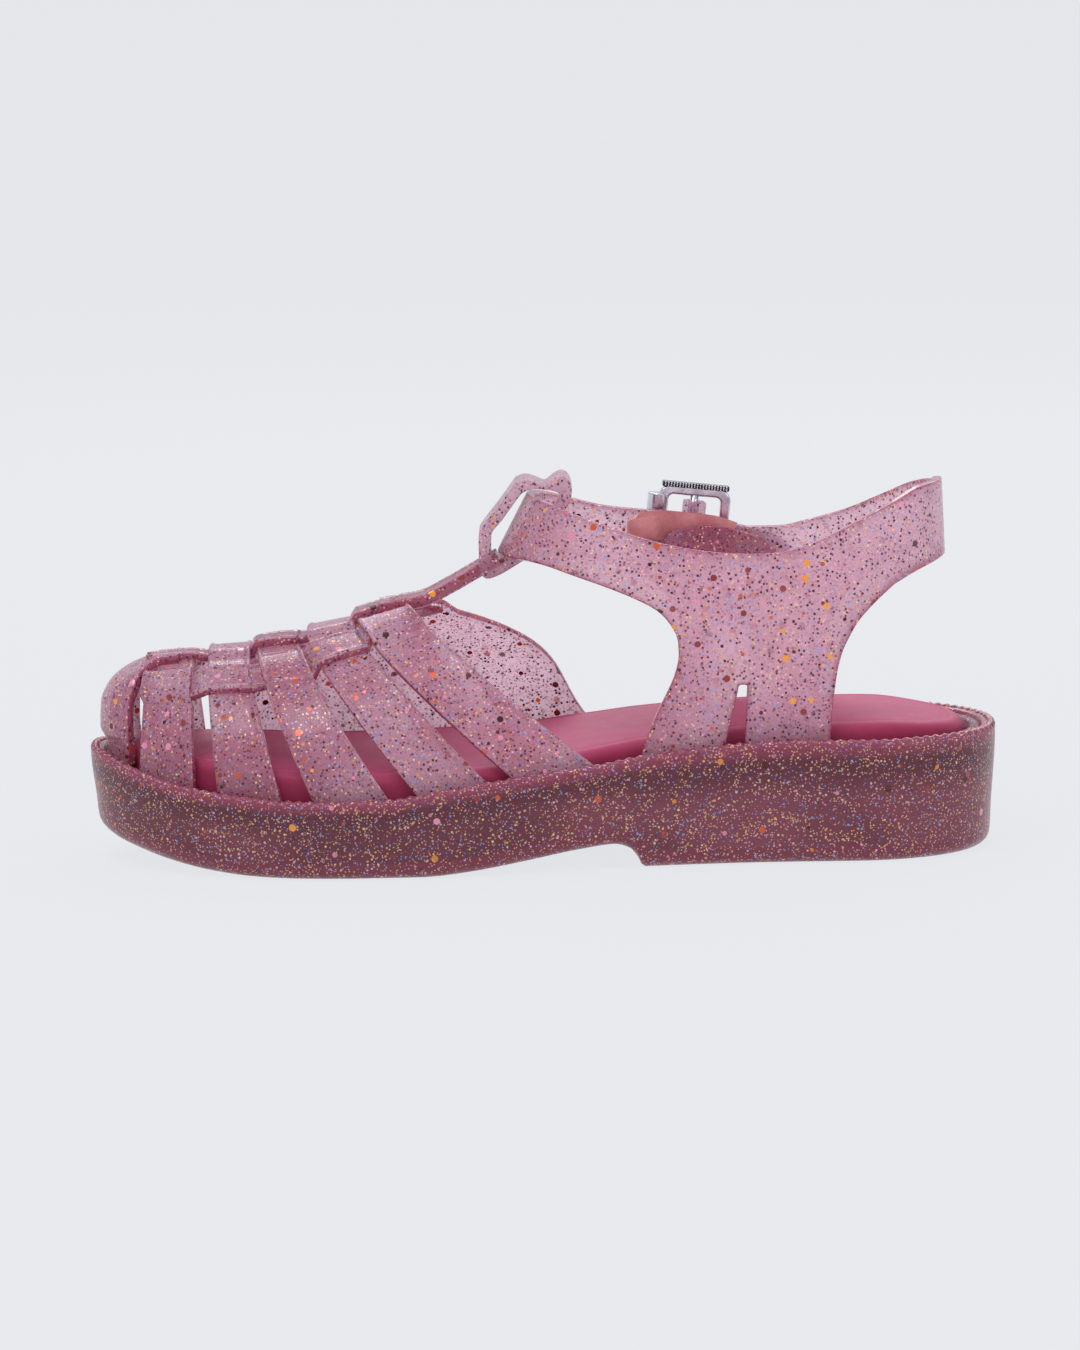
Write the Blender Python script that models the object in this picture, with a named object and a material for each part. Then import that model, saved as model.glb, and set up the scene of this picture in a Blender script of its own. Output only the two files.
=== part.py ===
"""A woven jelly sandal on a platform sole, right foot, in metres. Toe at -X, outer side at +Y, +Z up."""

import math

import bmesh
import bpy
from mathutils import Matrix, Vector

mm = 0.001

# Main sizes
sole_length = 190 * mm
ball_width = 76 * mm
rim_height = 25.4 * mm
rim_width = 3.0 * mm
rim_lip = 0.5 * mm
wall_taper = 1.3 * mm
bottom_corner = 3.0 * mm
well_depth = 5.0 * mm
clearance = 0.3 * mm

# Upper
wall = 2.0 * mm
weave_rise = 1.5 * mm
weave_edge = 0.35 * mm
crown_height = 53.0 * mm
strip_width = 9.2 * mm
ring_top_gap = 0.6 * mm
seat = 0.2 * mm
spine_width = 23.0 * mm
bar_thickness = 2.5 * mm

# Ankle strap
strap_top = 77.3 * mm
ankle_width = 48.0 * mm
strap_thickness = 2.0 * mm
keeper_width = 12.0 * mm

# Insole
insole_crown = 0.6 * mm
insole_round = 2.6 * mm
insole_gap = 1.2 * mm
toe_setback = 4.0 * mm

# Buckle
buckle_length = 15.6 * mm
buckle_height = 20.0 * mm
buckle_bar = 2.2 * mm
buckle_thickness = 2.0 * mm
centre_bar = 1.8 * mm
prong_width = 2.2 * mm
prong_thickness = 1.5 * mm
eye_wall = 0.8 * mm
fold_wall = 1.2 * mm
end_width = 9.8 * mm
end_length = 31.0 * mm
tab_thickness = 1.8 * mm
roller_wall = 0.7 * mm
pad_length = 23.0 * mm
pad_height = 5.6 * mm
pad_thickness = 1.9 * mm
pad_curl = 2.6 * mm
pad_bow = 0.2 * mm
pad_drop = 0.3 * mm
fold_reach = 6.8 * mm
prong_overhang = 0.8 * mm
prong_nose = 0.6 * mm
prong_sag = 0.2 * mm
spine_drop = 0.3 * mm

# Plan outline: along as a share of the length, half widths as shares of the ball width
outline_rows = (
    # along, inner, outer
    (0.00, 0.380, 0.330),
    (0.10, 0.430, 0.385),
    (0.20, 0.475, 0.435),
    (0.30, 0.500, 0.475),
    (0.38, 0.495, 0.500),
    (0.50, 0.440, 0.485),
    (0.62, 0.385, 0.430),
    (0.75, 0.360, 0.385),
    (0.88, 0.365, 0.370),
    (1.00, 0.360, 0.360),
)
toe_cap = (0.26, 2.35)
heel_cap = (0.17, 2.2)

# Side profile: heights as shares of the rim height
profile_rows = (
    # along, rim, insole
    (0.000, 0.937, 0.985),
    (0.044, 0.849, 0.965),
    (0.093, 0.748, 0.945),
    (0.142, 0.693, 0.915),
    (0.189, 0.659, 0.880),
    (0.236, 0.636, 0.848),
    (0.329, 0.642, 0.826),
    (0.374, 0.690, 0.832),
    (0.467, 0.783, 0.872),
    (0.552, 0.850, 0.960),
    (0.608, 0.917, 1.025),
    (0.694, 0.980, 1.085),
    (0.762, 1.008, 1.112),
    (0.867, 0.998, 1.118),
    (0.921, 1.005, 1.085),
    (1.000, 1.000, 1.030),
)
ground_rows = (
    # along, ground
    (0.000, 0.270),
    (0.040, 0.198),
    (0.090, 0.104),
    (0.140, 0.040),
    (0.190, 0.008),
    (0.235, 0.000),
    (0.365, 0.000),
    (0.420, 0.032),
    (0.477, 0.092),
    (0.536, 0.165),
    (0.576, 0.195),
    (0.592, 0.160),
    (0.601, 0.080),
    (0.607, 0.000),
    (1.000, 0.000),
)
breast_stations = (0.576, 0.592, 0.601, 0.607)

# Cross straps, two edges each: where they rise from the sole and where they cross the crown.
# Along is a share of the length, crown of the crown height, swell of the ball width.
# The side strip crosses between the last two angles round the foot, in degrees.
strap_rows = (
    # foot, along, crown, swell, strip low, strip high
    (0.0572, 0.0652, 0.766, 0.000, 47.0, 63.5),
    (0.1194, 0.1175, 0.785, -0.010, 49.0, 65.5),
    (0.1475, 0.1336, 0.800, 0.030, 50.0, 66.0),
    (0.2197, 0.1796, 0.808, 0.070, 51.5, 66.5),
    (0.2566, 0.1871, 0.830, 0.070, 53.0, 67.5),
    (0.3414, 0.2343, 0.845, 0.075, 55.5, 70.0),
    (0.3723, 0.2431, 0.872, 0.075, 58.0, 72.0),
    (0.4502, 0.2952, 0.906, 0.085, 61.0, 74.0),
    (0.4788, 0.2965, 0.935, 0.095, 64.5, 76.0),
    (0.5694, 0.3541, 0.985, 0.150, 67.0, 77.5),
)
arch_power = 2.2
side_strip = (57.0, 71.5)  # its columns in the grid, in degrees

# Toe spine: along as a share of the length, height of the crown height, half of the spine width, bow of the ball width
spine_rows = (
    # along, height, half, bow
    (0.0180, 0.390, 0.50, 0.065),
    (0.0180, 0.462, 0.50, 0.065),
    (0.0105, 0.518, 0.50, 0.063),
    (0.0120, 0.615, 0.47, 0.057),
    (0.0230, 0.702, 0.39, 0.038),
    (0.0415, 0.756, 0.28, 0.018),
    (0.0640, 0.790, 0.215, 0.006),
    (0.0810, 0.806, 0.20, 0.000),
    (0.1000, 0.812, 0.20, 0.000),
)

# T-bar: along as a share of the length, climb from the crown (0) to the ankle strap (1)
bar_rows = (
    # along, climb
    (0.322, 0.000),
    (0.345, 0.070),
    (0.369, 0.158),
    (0.397, 0.415),
    (0.432, 0.785),
    (0.452, 1.000),
)
bar_ends = (0.9947, 0.812)  # share of the crown height, share of the strap top

# Ankle strap: along as a share of the length, heights of the strap top
edge_rows = (
    # along, inner top, bottom, outer top
    (0.440, 0.976, 0.815, 0.976),
    (0.478, 0.976, 0.812, 0.976),
    (0.500, 0.968, 0.803, 0.965),
    (0.535, 0.939, 0.776, 0.934),
    (0.570, 0.911, 0.747, 0.907),
    (0.604, 0.882, 0.713, 0.893),
    (0.651, 0.853, 0.712, 0.880),
    (0.698, 0.837, 0.712, 0.864),
    (0.735, 0.832, 0.714, 0.835),
    (0.767, 0.838, 0.716, 0.835),
    (0.798, 0.860, 0.718, 0.850),
    (0.840, 0.906, 0.720, 0.879),
    (0.885, 0.956, 0.736, 0.927),
    (0.925, 0.996, 0.778, 0.972),
    (0.950, 0.998, 0.792, 0.988),
)
loop_along = (0.453, 0.487, 0.946, 0.943)  # front of the bottom edge and of the top edge, heel of each
loop_middle = 0.721
loop_power = 2.4

# Quarter: along as shares of the length, heights of the strap top. The last two columns move
# the front edge and the slot of the outer side back.
quarter_rows = (
    # front height, front, slot front, slot back, back, back height, outer front, outer slot
    (0.7130, 0.6040, 0.7105, 0.7242, 0.8850, 0.7360, 0.000, 0.0000),
    (0.6850, 0.6250, 0.7116, 0.7242, 0.8626, 0.6900, 0.000, 0.0030),
    (0.6490, 0.6390, 0.7121, 0.7237, 0.8447, 0.6440, 0.002, 0.0060),
    (0.6060, 0.6474, 0.7126, 0.7237, 0.8347, 0.6050, 0.004, 0.0090),
    (0.5640, 0.6484, 0.7126, 0.7232, 0.8268, 0.5670, 0.009, 0.0115),
    (0.5130, 0.6437, 0.7126, 0.7232, 0.8205, 0.5130, 0.016, 0.0115),
    (0.4820, 0.6384, 0.7132, 0.7226, 0.8184, 0.4820, 0.021, 0.0115),
    (0.4200, 0.6258, 0.7074, 0.7216, 0.8147, 0.4200, 0.029, 0.0115),
    (0.3620, 0.6158, 0.7016, 0.7200, 0.8126, 0.3620, 0.029, 0.0115),
    (0.2880, 0.6050, 0.6963, 0.7189, 0.8115, 0.2920, 0.026, 0.0115),
)
slot_row = 6

# Keeper loop, seen from the side, in shares of the strap top from its lower front corner
keeper_outer = (
    (0.000, 0.020), (0.002, 0.070), (0.017, 0.096), (0.063, 0.154), (0.098, 0.202),
    (0.110, 0.211), (0.130, 0.216), (0.155, 0.209), (0.181, 0.199), (0.200, 0.212),
    (0.220, 0.224), (0.238, 0.221), (0.250, 0.205), (0.254, 0.182), (0.246, 0.149),
    (0.210, 0.095), (0.160, 0.027), (0.142, 0.006), (0.118, -0.006), (0.060, -0.040),
    (0.020, -0.052), (0.003, -0.030),
)
keeper_inner = (
    (0.026, 0.040), (0.028, 0.072), (0.055, 0.108), (0.100, 0.168), (0.118, 0.186),
    (0.150, 0.188), (0.185, 0.186), (0.212, 0.180), (0.226, 0.165), (0.218, 0.148),
    (0.180, 0.096), (0.136, 0.036), (0.116, 0.020), (0.070, 0.006), (0.036, 0.004),
)
keeper_corner = (0.433, 0.800)

buckle_place = (0.672, 0.811)
buckle_tilt = math.radians(6.5)
end_fall = 0.18
buckle_turn = math.radians(2.7)


def clear_scene():
    for item in list(bpy.data.objects):
        bpy.data.objects.remove(item)


def material(name, colour, roughness, metallic=0.0, transmission=0.0, coat=0.0):
    made = bpy.data.materials.new(name)
    made.use_nodes = True
    surface = made.node_tree.nodes["Principled BSDF"]
    surface.inputs["Base Color"].default_value = (*colour, 1.0)
    surface.inputs["Roughness"].default_value = roughness
    surface.inputs["Metallic"].default_value = metallic
    surface.inputs["Transmission Weight"].default_value = transmission
    surface.inputs["Coat Weight"].default_value = coat
    made.diffuse_color = (*colour, 1.0)
    return made


def solid(name, points, faces):
    mesh = bpy.data.meshes.new(name)
    mesh.from_pydata([tuple(p) for p in points], [], faces)
    mesh.validate()
    made = bpy.data.objects.new(name, mesh)
    bpy.context.scene.collection.objects.link(made)
    return made


def smooth_row(rows, along, column):
    """A column of a table read at along, through a curve that never overshoots its rows."""
    if along <= rows[0][0]:
        return rows[0][column]
    if along >= rows[-1][0]:
        return rows[-1][column]
    k = max(i for i in range(len(rows) - 1) if rows[i][0] <= along)

    def slope(i):
        if i <= 0 or i >= len(rows) - 1:
            return 0.0
        before = (rows[i][column] - rows[i - 1][column]) / (rows[i][0] - rows[i - 1][0])
        after = (rows[i + 1][column] - rows[i][column]) / (rows[i + 1][0] - rows[i][0])
        return 0.0 if before * after <= 0 else 2 * before * after / (before + after)

    span = rows[k + 1][0] - rows[k][0]
    t = (along - rows[k][0]) / span
    return (
        rows[k][column] * (2 * t**3 - 3 * t**2 + 1)
        + rows[k + 1][column] * (3 * t**2 - 2 * t**3)
        + slope(k) * span * (t**3 - 2 * t**2 + t)
        + slope(k + 1) * span * (t**3 - t**2)
    )


def x_of(along):
    return (along - 0.5) * sole_length


def along_of(x):
    return x / sole_length + 0.5


def half_width(along, side):
    """Half of the sole's width at along, on the inner side (-1) or the outer side (1)."""
    along = min(max(along, 0.0), 1.0)
    width = ball_width * smooth_row(outline_rows, along, 1 if side < 0 else 2)
    for share, power, distance in ((*toe_cap, along), (*heel_cap, 1.0 - along)):
        if distance < share:
            width *= (1 - (1 - distance / share) ** power) ** (1 / power)
    return width


def rim_at(along):
    return rim_height * smooth_row(profile_rows, along, 1)


def ground_at(along):
    return rim_height * smooth_row(ground_rows, along, 1)


def insole_at(along):
    return rim_height * smooth_row(profile_rows, along, 2)


def stations():
    count = 26
    found = [0.5 - 0.5 * math.cos(math.pi * i / count) for i in range(count + 1)]
    found = [a for a in found if all(abs(a - b) > 0.009 for b in breast_stations)]
    return sorted(found + list(breast_stations))


def plan_loop():
    """The outline as a closed loop of (along, y), from the toe round the inner side to the heel and back."""
    inner = [(a, -half_width(a, -1)) for a in stations()]
    outer = [(a, half_width(a, 1)) for a in stations()]
    return inner + outer[-2:0:-1]


def inset_loop(inset):
    """The outline moved inwards by inset, as points in X and Y."""
    loop = [Vector((x_of(a), y)) for a, y in plan_loop()]
    count = len(loop)
    moved = []
    for i, point in enumerate(loop):
        tangent = loop[(i + 1) % count] - loop[i - 1]
        inward = Vector((-tangent.y, tangent.x)).normalized()
        moved.append(point + inward * inset)
    return moved


def inset_width(along, side, inset):
    """Half width of the outline moved inwards by inset, read across the foot at along."""
    loop = inset_loop(inset)
    x = x_of(along)
    found = 0.0
    for i, point in enumerate(loop):
        before = loop[i - 1]
        if (point.x - x) * (before.x - x) > 0 or point.x == before.x:
            continue
        share = (x - before.x) / (point.x - before.x)
        found = max(found, side * (before.y + (point.y - before.y) * share))
    return found


def ring_points(inset, height):
    return [Vector((p.x, p.y, height(along_of(p.x)))) for p in inset_loop(inset)]


def bridge(first, second, count):
    return [
        (first + i, first + (i + 1) % count, second + (i + 1) % count, second + i)
        for i in range(count)
    ]


def ladder(start, count, up):
    """Closes a loop across the foot, rung by rung, since heights follow the length only."""
    half = count // 2
    faces = [(start, start + 1, start + count - 1)]
    for i in range(1, half - 1):
        faces.append((start + i, start + i + 1, start + count - i - 1, start + count - i))
    faces.append((start + half - 1, start + half, start + half + 1))
    return faces if up else [tuple(reversed(f)) for f in faces]


def stack(name, rings):
    """A closed solid from loops listed from the middle of its bottom round to the middle of its top."""
    count = len(rings[0])
    points = [p for ring in rings for p in ring]
    faces = ladder(0, count, False)
    for i in range(len(rings) - 1):
        faces += bridge(i * count, (i + 1) * count, count)
    faces += ladder((len(rings) - 1) * count, count, True)
    return solid(name, points, faces)


def make_sole():
    def over_ground(rise):
        return lambda a: ground_at(a) + rise

    def under_rim(drop):
        return lambda a: rim_at(a) - drop

    return stack(
        "sole",
        [
            ring_points(wall_taper + bottom_corner, over_ground(0)),
            ring_points(wall_taper + 0.3 * bottom_corner, over_ground(0.25 * bottom_corner)),
            ring_points(wall_taper, over_ground(bottom_corner)),
            ring_points(0.45 * wall_taper, under_rim(0.25 * rim_height)),
            ring_points(0.0, under_rim(1.6 * rim_lip)),
            ring_points(rim_lip, under_rim(0)),
            ring_points(rim_width - rim_lip, under_rim(0)),
            ring_points(rim_width, under_rim(rim_lip)),
            ring_points(rim_width, under_rim(well_depth)),
        ],
    )


def make_insole():
    side = rim_width + clearance + wall + insole_gap

    def floor(a):
        return rim_at(a) - well_depth + clearance

    def under_top(drop):
        return lambda a: insole_at(a) - drop

    rings = [
        ring_points(side, floor),
        ring_points(side, under_top(insole_round)),
        ring_points(side + 0.3 * insole_round, under_top(0.3 * insole_round)),
        ring_points(side + insole_round, under_top(0)),
        ring_points(side + 4 * insole_round, under_top(-insole_crown)),
    ]
    for ring in rings:
        for point in ring:
            point.x += toe_setback * max(0.0, 1 - along_of(point.x) / 0.12) ** 2
    return stack("insole", rings)


def make_ring():
    """The band hidden between rim and insole that carries every strap."""
    outside = rim_width + clearance
    inside = outside + wall

    def floor(a):
        return rim_at(a) - well_depth + clearance

    def top(a):
        return rim_at(a) - ring_top_gap

    rings = [
        ring_points(inside, floor),
        ring_points(outside, floor),
        ring_points(outside, top),
        ring_points(inside, top),
    ]
    count = len(rings[0])
    points = [p for ring in rings for p in ring]
    faces = []
    for i in range(4):
        faces += bridge(i * count, (i + 1) % 4 * count, count)
    return solid("ring", points, faces)


def shell(name, grid, present, thickness, lift=None, cyclic=False):
    """A wall behind a grid of outer points, cut to the cells that are present. lift raises the outer side."""
    rows, cols = len(grid), len(grid[0])
    across = cols if cyclic else cols - 1
    cells = [(r, c) for r in range(rows - 1) for c in range(across) if present(r, c)]
    kept = set(cells)
    normals = {}
    for r, c in cells:
        d = (c + 1) % cols
        corners = ((r, c), (r + 1, c), (r + 1, d), (r, d))
        a, b, e, f = (grid[i][j] for i, j in corners)
        normal = (e - a).cross(f - b)
        for corner in corners:
            normals[corner] = normals.get(corner, Vector((0, 0, 0))) + normal
    index = {}
    points = []
    for corner, normal in normals.items():
        outer = grid[corner[0]][corner[1]]
        normal = normal.normalized()
        rise = lift(*corner) if lift else 0.0
        index[corner] = len(points)
        points += [outer + normal * rise, outer - normal * thickness]
    faces = []
    for r, c in cells:
        d = (c + 1) % cols
        a, b, e, f = (index[k] for k in ((r, c), (r + 1, c), (r + 1, d), (r, d)))
        faces.append((a, b, e, f))
        faces.append((f + 1, e + 1, b + 1, a + 1))
        left = (r, (c - 1) % cols) if cyclic else (r, c - 1)
        right = (r, d) if cyclic else (r, c + 1)
        for neighbour, p, q in (((r - 1, c), f, a), (left, a, b), ((r + 1, c), b, e), (right, e, f)):
            if neighbour not in kept:
                faces.append((p + 1, q + 1, q, p))
    return solid(name, points, faces)


def make_vamp():
    """Five cross straps and three strips woven through them, as one wall."""
    lines = []
    kinds = []
    for k in range(0, len(strap_rows), 2):
        front, back = strap_rows[k], strap_rows[k + 1]
        edge = weave_edge / ((back[1] - front[1]) * sole_length)
        for t in (-edge, 0.0, 0.5, 1.0, 1.0 + edge):
            lines.append([p + (q - p) * t for p, q in zip(front, back)])
            kinds.append((k // 2, t))
    low, high = side_strip
    middle = math.degrees(math.acos((strip_width / ball_width * 1.1) ** (arch_power / 2)))
    half = [0, 9, 18, 27, 36.5, 47, low - 0.7, low, 0.5 * (low + high), high, high + 0.8]
    half += [0.5 * (high + middle), middle - 0.8, middle]
    angles = half + [90] + [180 - a for a in reversed(half)]
    strips = {}
    for c, angle in enumerate(angles):
        for name, first, last in (
            ("inner", low, high), ("middle", middle, 180 - middle), ("outer", 180 - high, 180 - low),
        ):
            if first - 1e-6 <= angle <= last + 1e-6:
                strips[c] = name

    widths = {
        (line[0], side): inset_width(line[0], side, rim_width + clearance + seat) for line in lines for side in (-1, 1)
    }

    def turned(angle, strip_low, strip_high):
        """The angle round the foot for a column of the grid, which follows the side strips."""
        if angle > 90:
            return 180 - turned(180 - angle, strip_low, strip_high)
        given, actual = (0.0, low, high, middle, 90.0), (0.0, strip_low, strip_high, middle, 90.0)
        k = max(i for i in range(4) if given[i] <= angle)
        return actual[k] + (actual[k + 1] - actual[k]) * (angle - given[k]) / (given[k + 1] - given[k])

    def point(line, angle):
        foot, along, crown, swell, strip_low, strip_high = line
        side = -1 if angle < 90 else 1
        angle = turned(angle, strip_low, strip_high)
        flat = abs(math.cos(math.radians(angle))) ** (2 / arch_power)
        height = math.sin(math.radians(angle)) ** (2 / arch_power)
        start = rim_at(foot) - 2 * ring_top_gap - 0.3 * well_depth
        z = start + (crown * crown_height - start) * height
        x = x_of(foot + (along - foot) * height)
        if side > 0:
            x += swell * ball_width * abs(math.sin(math.pi * min(1.0, height) ** 1.6)) ** 0.6
        width = widths[foot, side]
        y = side * width * flat
        return Vector((x, y, z))

    grid = [[point(line, angle) for angle in angles] for line in lines]

    def strip_cell(c):
        return strips.get(c) is not None and strips.get(c) == strips.get(c + 1)

    def present(r, c):
        inside_strap = kinds[r][0] == kinds[r + 1][0] and kinds[r][1] >= 0 and kinds[r + 1][1] <= 1
        return inside_strap or strip_cell(c)

    def over(strap, strip):
        """True where the strap passes over the strip."""
        return (strap % 2 == 0) != (strip == "middle")

    def lift(r, c):
        strap, t = kinds[r]
        in_strap = 0 <= t <= 1
        strip = strips.get(c)
        if strip and in_strap:
            return weave_rise
        if strip:
            return 0.25 * weave_rise if over(strap, strip) else 0.8 * weave_rise
        if in_strap:
            near = [strips[n] for n in (c - 1, c + 1) if n in strips]
            if near:
                return 0.8 * weave_rise if over(strap, near[0]) else 0.0
            return 0.15 * weave_rise if 3 < c < len(angles) - 4 else 0.0
        return 0.0

    return shell("vamp", grid, present, wall, lift)


def strip_solid(name, rows, half_of, thickness, steps=2):
    """A strip swept along rows of (x, z, half width, bow, drop), its outer side on them."""
    shares = [i / steps for i in range(-steps, steps + 1)]
    grid = [
        [Vector((x + bow * v * v, half * v, z - drop * v * v)) for v in shares]
        for x, z, half, bow, drop in rows
    ]
    return shell(name, grid, lambda r, c: True, thickness)


def make_spine():
    rows = []
    for along, height, half, bow in spine_rows:
        drop = spine_drop if height > 0.75 else 0.0
        rows.append((x_of(along), height * crown_height, half * spine_width, bow * ball_width, drop))
    return strip_solid("spine", rows, None, 1.1 * wall, 3)


def make_bar():
    low, high = bar_ends[0] * crown_height, bar_ends[1] * strap_top
    rows = [
        (x_of(along), low + climb * (high - low), 0.5 * strip_width, 0.0, 0.0)
        for along, climb in bar_rows
    ]
    return strip_solid("bar", rows, None, bar_thickness, 1)


def make_keeper():
    corner_x, corner_z = x_of(keeper_corner[0]), keeper_corner[1] * strap_top

    def place(shape, y):
        return [Vector((corner_x + a * strap_top, y, corner_z + b * strap_top)) for a, b in shape]

    def plate(name, shape, half):
        near, far = place(shape, -half), place(shape, half)
        count = len(shape)
        faces = [tuple(range(count - 1, -1, -1)), tuple(range(count, 2 * count))]
        faces += [(i, (i + 1) % count, count + (i + 1) % count, count + i) for i in range(count)]
        made = solid(name, near + far, faces)
        make_outward(made)
        return made

    outer = plate("keeper", keeper_outer, 0.5 * keeper_width)
    inner = plate("keeper_hole", keeper_inner, keeper_width)
    return combine(outer, [inner], "DIFFERENCE")


def make_outward(made):
    """Turns the faces of a simple closed solid outwards."""
    mesh = made.data
    volume = 0.0
    mesh.calc_loop_triangles()
    for triangle in mesh.loop_triangles:
        a, b, c = (mesh.vertices[i].co for i in triangle.vertices)
        volume += a.dot(b.cross(c))
    if volume < 0:
        mesh.flip_normals()


def loop_point(angle, quadrant, level):
    """A point of the ankle loop in plan. quadrant is front or heel, level 0 is the lower edge and 1 the upper."""
    front_low, front_high, heel_low, heel_high = loop_along
    middle = x_of(loop_middle)
    if quadrant == "front":
        end = front_low + (front_high - front_low) * level
    else:
        end = heel_low + (heel_high - heel_low) * level
    reach = x_of(end) - middle
    x = middle + reach * abs(math.cos(angle)) ** (2 / loop_power)
    half = 0.5 * ankle_width * (1.02 - 0.04 * level)
    return x, half * abs(math.sin(angle)) ** (2 / loop_power)


def angle_at(x, level):
    front_low, front_high, heel_low, heel_high = loop_along
    middle = x_of(loop_middle)
    if x < middle:
        end = front_low + (front_high - front_low) * level
    else:
        end = heel_low + (heel_high - heel_low) * level
    share = min(1.0, (x - middle) / (x_of(end) - middle))
    return math.acos(share ** (loop_power / 2)), "front" if x < middle else "heel"


def quarter_columns():
    """The columns of one side from the front to the heel: (angle, quadrant, leg column or None)."""
    top = quarter_rows[0]
    first, _ = angle_at(x_of(top[1]), 0)
    last, _ = angle_at(x_of(top[4]), 0)
    columns = [(first * i / 7, "front", None) for i in range(7)]
    for leg in range(9):
        x = leg_x(top, leg, -1)
        columns.append((*angle_at(x, 0), leg))
    columns += [(last * i / 4, "heel", None) for i in range(3, -1, -1)]
    return columns


def leg_x(row, leg, side):
    """X of a leg column: 0 to 3 reach the slot, 4 to 8 go on from it."""
    _, front, slot_front, slot_back, back, _, outer_front, outer_slot = row
    if side > 0:
        front += outer_front
        slot_front += outer_slot
        slot_back += outer_slot
    if leg <= 3:
        along = front + (slot_front - front) * leg / 3
    else:
        along = slot_back + (back - slot_back) * (leg - 4) / 4
    return x_of(along)


def leg_point(row_number, leg, side):
    row = quarter_rows[row_number]
    x = leg_x(row, leg, side)
    front_x, back_x = leg_x(row, 0, side), x_of(row[4])
    share = (x - front_x) / (back_x - front_x)
    z = strap_top * (row[0] + (row[5] - row[0]) * share)
    angle, quadrant = angle_at(x, 0)
    high = loop_point(angle, quadrant, 0)[1]
    base = inset_width(along_of(x), side, rim_width + clearance + seat)
    down = (quarter_rows[0][0] - row[0]) / (quarter_rows[0][0] - quarter_rows[-1][0])
    blend = min(1.0, 1.15 * down)
    blend = blend * blend * (3 - 2 * blend)
    return Vector((x, side * (high + (base - high) * blend), z))


def strap_point(column, level, side):
    angle, quadrant, leg = column
    low = loop_point(angle, quadrant, 0)
    high = loop_point(angle, quadrant, 1)
    if leg is not None:
        bottom = leg_point(0, leg, side)
    else:
        z = strap_top * smooth_row(edge_rows, along_of(low[0]), 2)
        bottom = Vector((low[0], side * low[1], z))
    z = strap_top * smooth_row(edge_rows, along_of(high[0]), 1 if side < 0 else 3)
    top = Vector((high[0], side * high[1], z))
    return bottom.lerp(top, level)


def make_ankle():
    """The strap round the ankle and the two quarters that carry it, as one wall."""
    columns = quarter_columns()
    around = [(c, -1) for c in columns] + [(c, 1) for c in columns[-2:0:-1]]
    grid = [[strap_point(c, level, side) for c, side in around] for level in (1.0, 0.5)]
    for r in range(len(quarter_rows)):
        line = []
        for c, side in around:
            if r == 0:
                line.append(strap_point(c, 0.0, side))
            else:
                line.append(leg_point(r, c[2], side) if c[2] is not None else Vector((0, 0, 0)))
        grid.append(line)
    legs = [c[2] for c, side in around]

    def present(r, c):
        if r < 2:
            return True
        first, second = legs[c], legs[(c + 1) % len(legs)]
        if first is None or second is None:
            return False
        return not (r - 2 >= slot_row and {first, second} == {3, 4})

    return shell("ankle", grid, present, strap_thickness, cyclic=True)


def combine(base, others, operation):
    """One mesh of base and the others, which are removed."""
    for other in others:
        step = base.modifiers.new(other.name, "BOOLEAN")
        step.operation = operation
        step.solver = "EXACT"
        step.object = other
        graph = bpy.context.evaluated_depsgraph_get()
        mesh = bpy.data.meshes.new_from_object(base.evaluated_get(graph))
        base.modifiers.clear()
        base.data = mesh
    for other in others:
        bpy.data.objects.remove(other)
    return base


def buckle_frame_matrix():
    """Local X runs back along the strap, local Z up and local Y away from the foot, from the quarter's outer face."""
    x = x_of(buckle_place[0])
    angle, quadrant = angle_at(x, 0)
    y = loop_point(angle, quadrant, 0)[1]
    place = Matrix.Translation((x, y, buckle_place[1] * strap_top))
    return place @ Matrix.Rotation(buckle_tilt, 4, "Y") @ Matrix.Rotation(buckle_turn, 4, "Z")


def prism(name, outline, low, high, matrix, axis="Y"):
    """A closed outline in two local axes, pushed along the third."""
    def at(a, b, depth):
        if axis == "Y":
            return matrix @ Vector((a, depth, b))
        return matrix @ Vector((a, b, depth))

    count = len(outline)
    points = [at(a, b, low) for a, b in outline] + [at(a, b, high) for a, b in outline]
    faces = [tuple(range(count)), tuple(range(2 * count - 1, count - 1, -1))]
    faces += [(i, (i + 1) % count, count + (i + 1) % count, count + i) for i in range(count)]
    made = solid(name, points, faces)
    agree(made)
    return made


def agree(made):
    """Makes the faces agree, then turns them outwards."""
    cage = bmesh.new()
    cage.from_mesh(made.data)
    bmesh.ops.recalc_face_normals(cage, faces=cage.faces)
    cage.to_mesh(made.data)
    cage.free()
    make_outward(made)


def rounded(width, height, radius, steps=3):
    corners = []
    for cx, cy, start in ((1, 1, 0), (-1, 1, 90), (-1, -1, 180), (1, -1, 270)):
        for i in range(steps + 1):
            turn = math.radians(start + 90 * i / steps)
            corners.append((
                cx * (width / 2 - radius) + radius * math.cos(turn),
                cy * (height / 2 - radius) + radius * math.sin(turn),
            ))
    return corners


def circle(radius, count, centre=(0.0, 0.0)):
    return [
        (centre[0] + radius * math.cos(math.tau * i / count), centre[1] + radius * math.sin(math.tau * i / count))
        for i in range(count)
    ]


def bar_level():
    """How far the centre bar's axis stands off the quarter, with the prong's eye clear of the strap."""
    return tab_thickness + clearance + eye_wall + clearance + 0.5 * centre_bar


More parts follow.
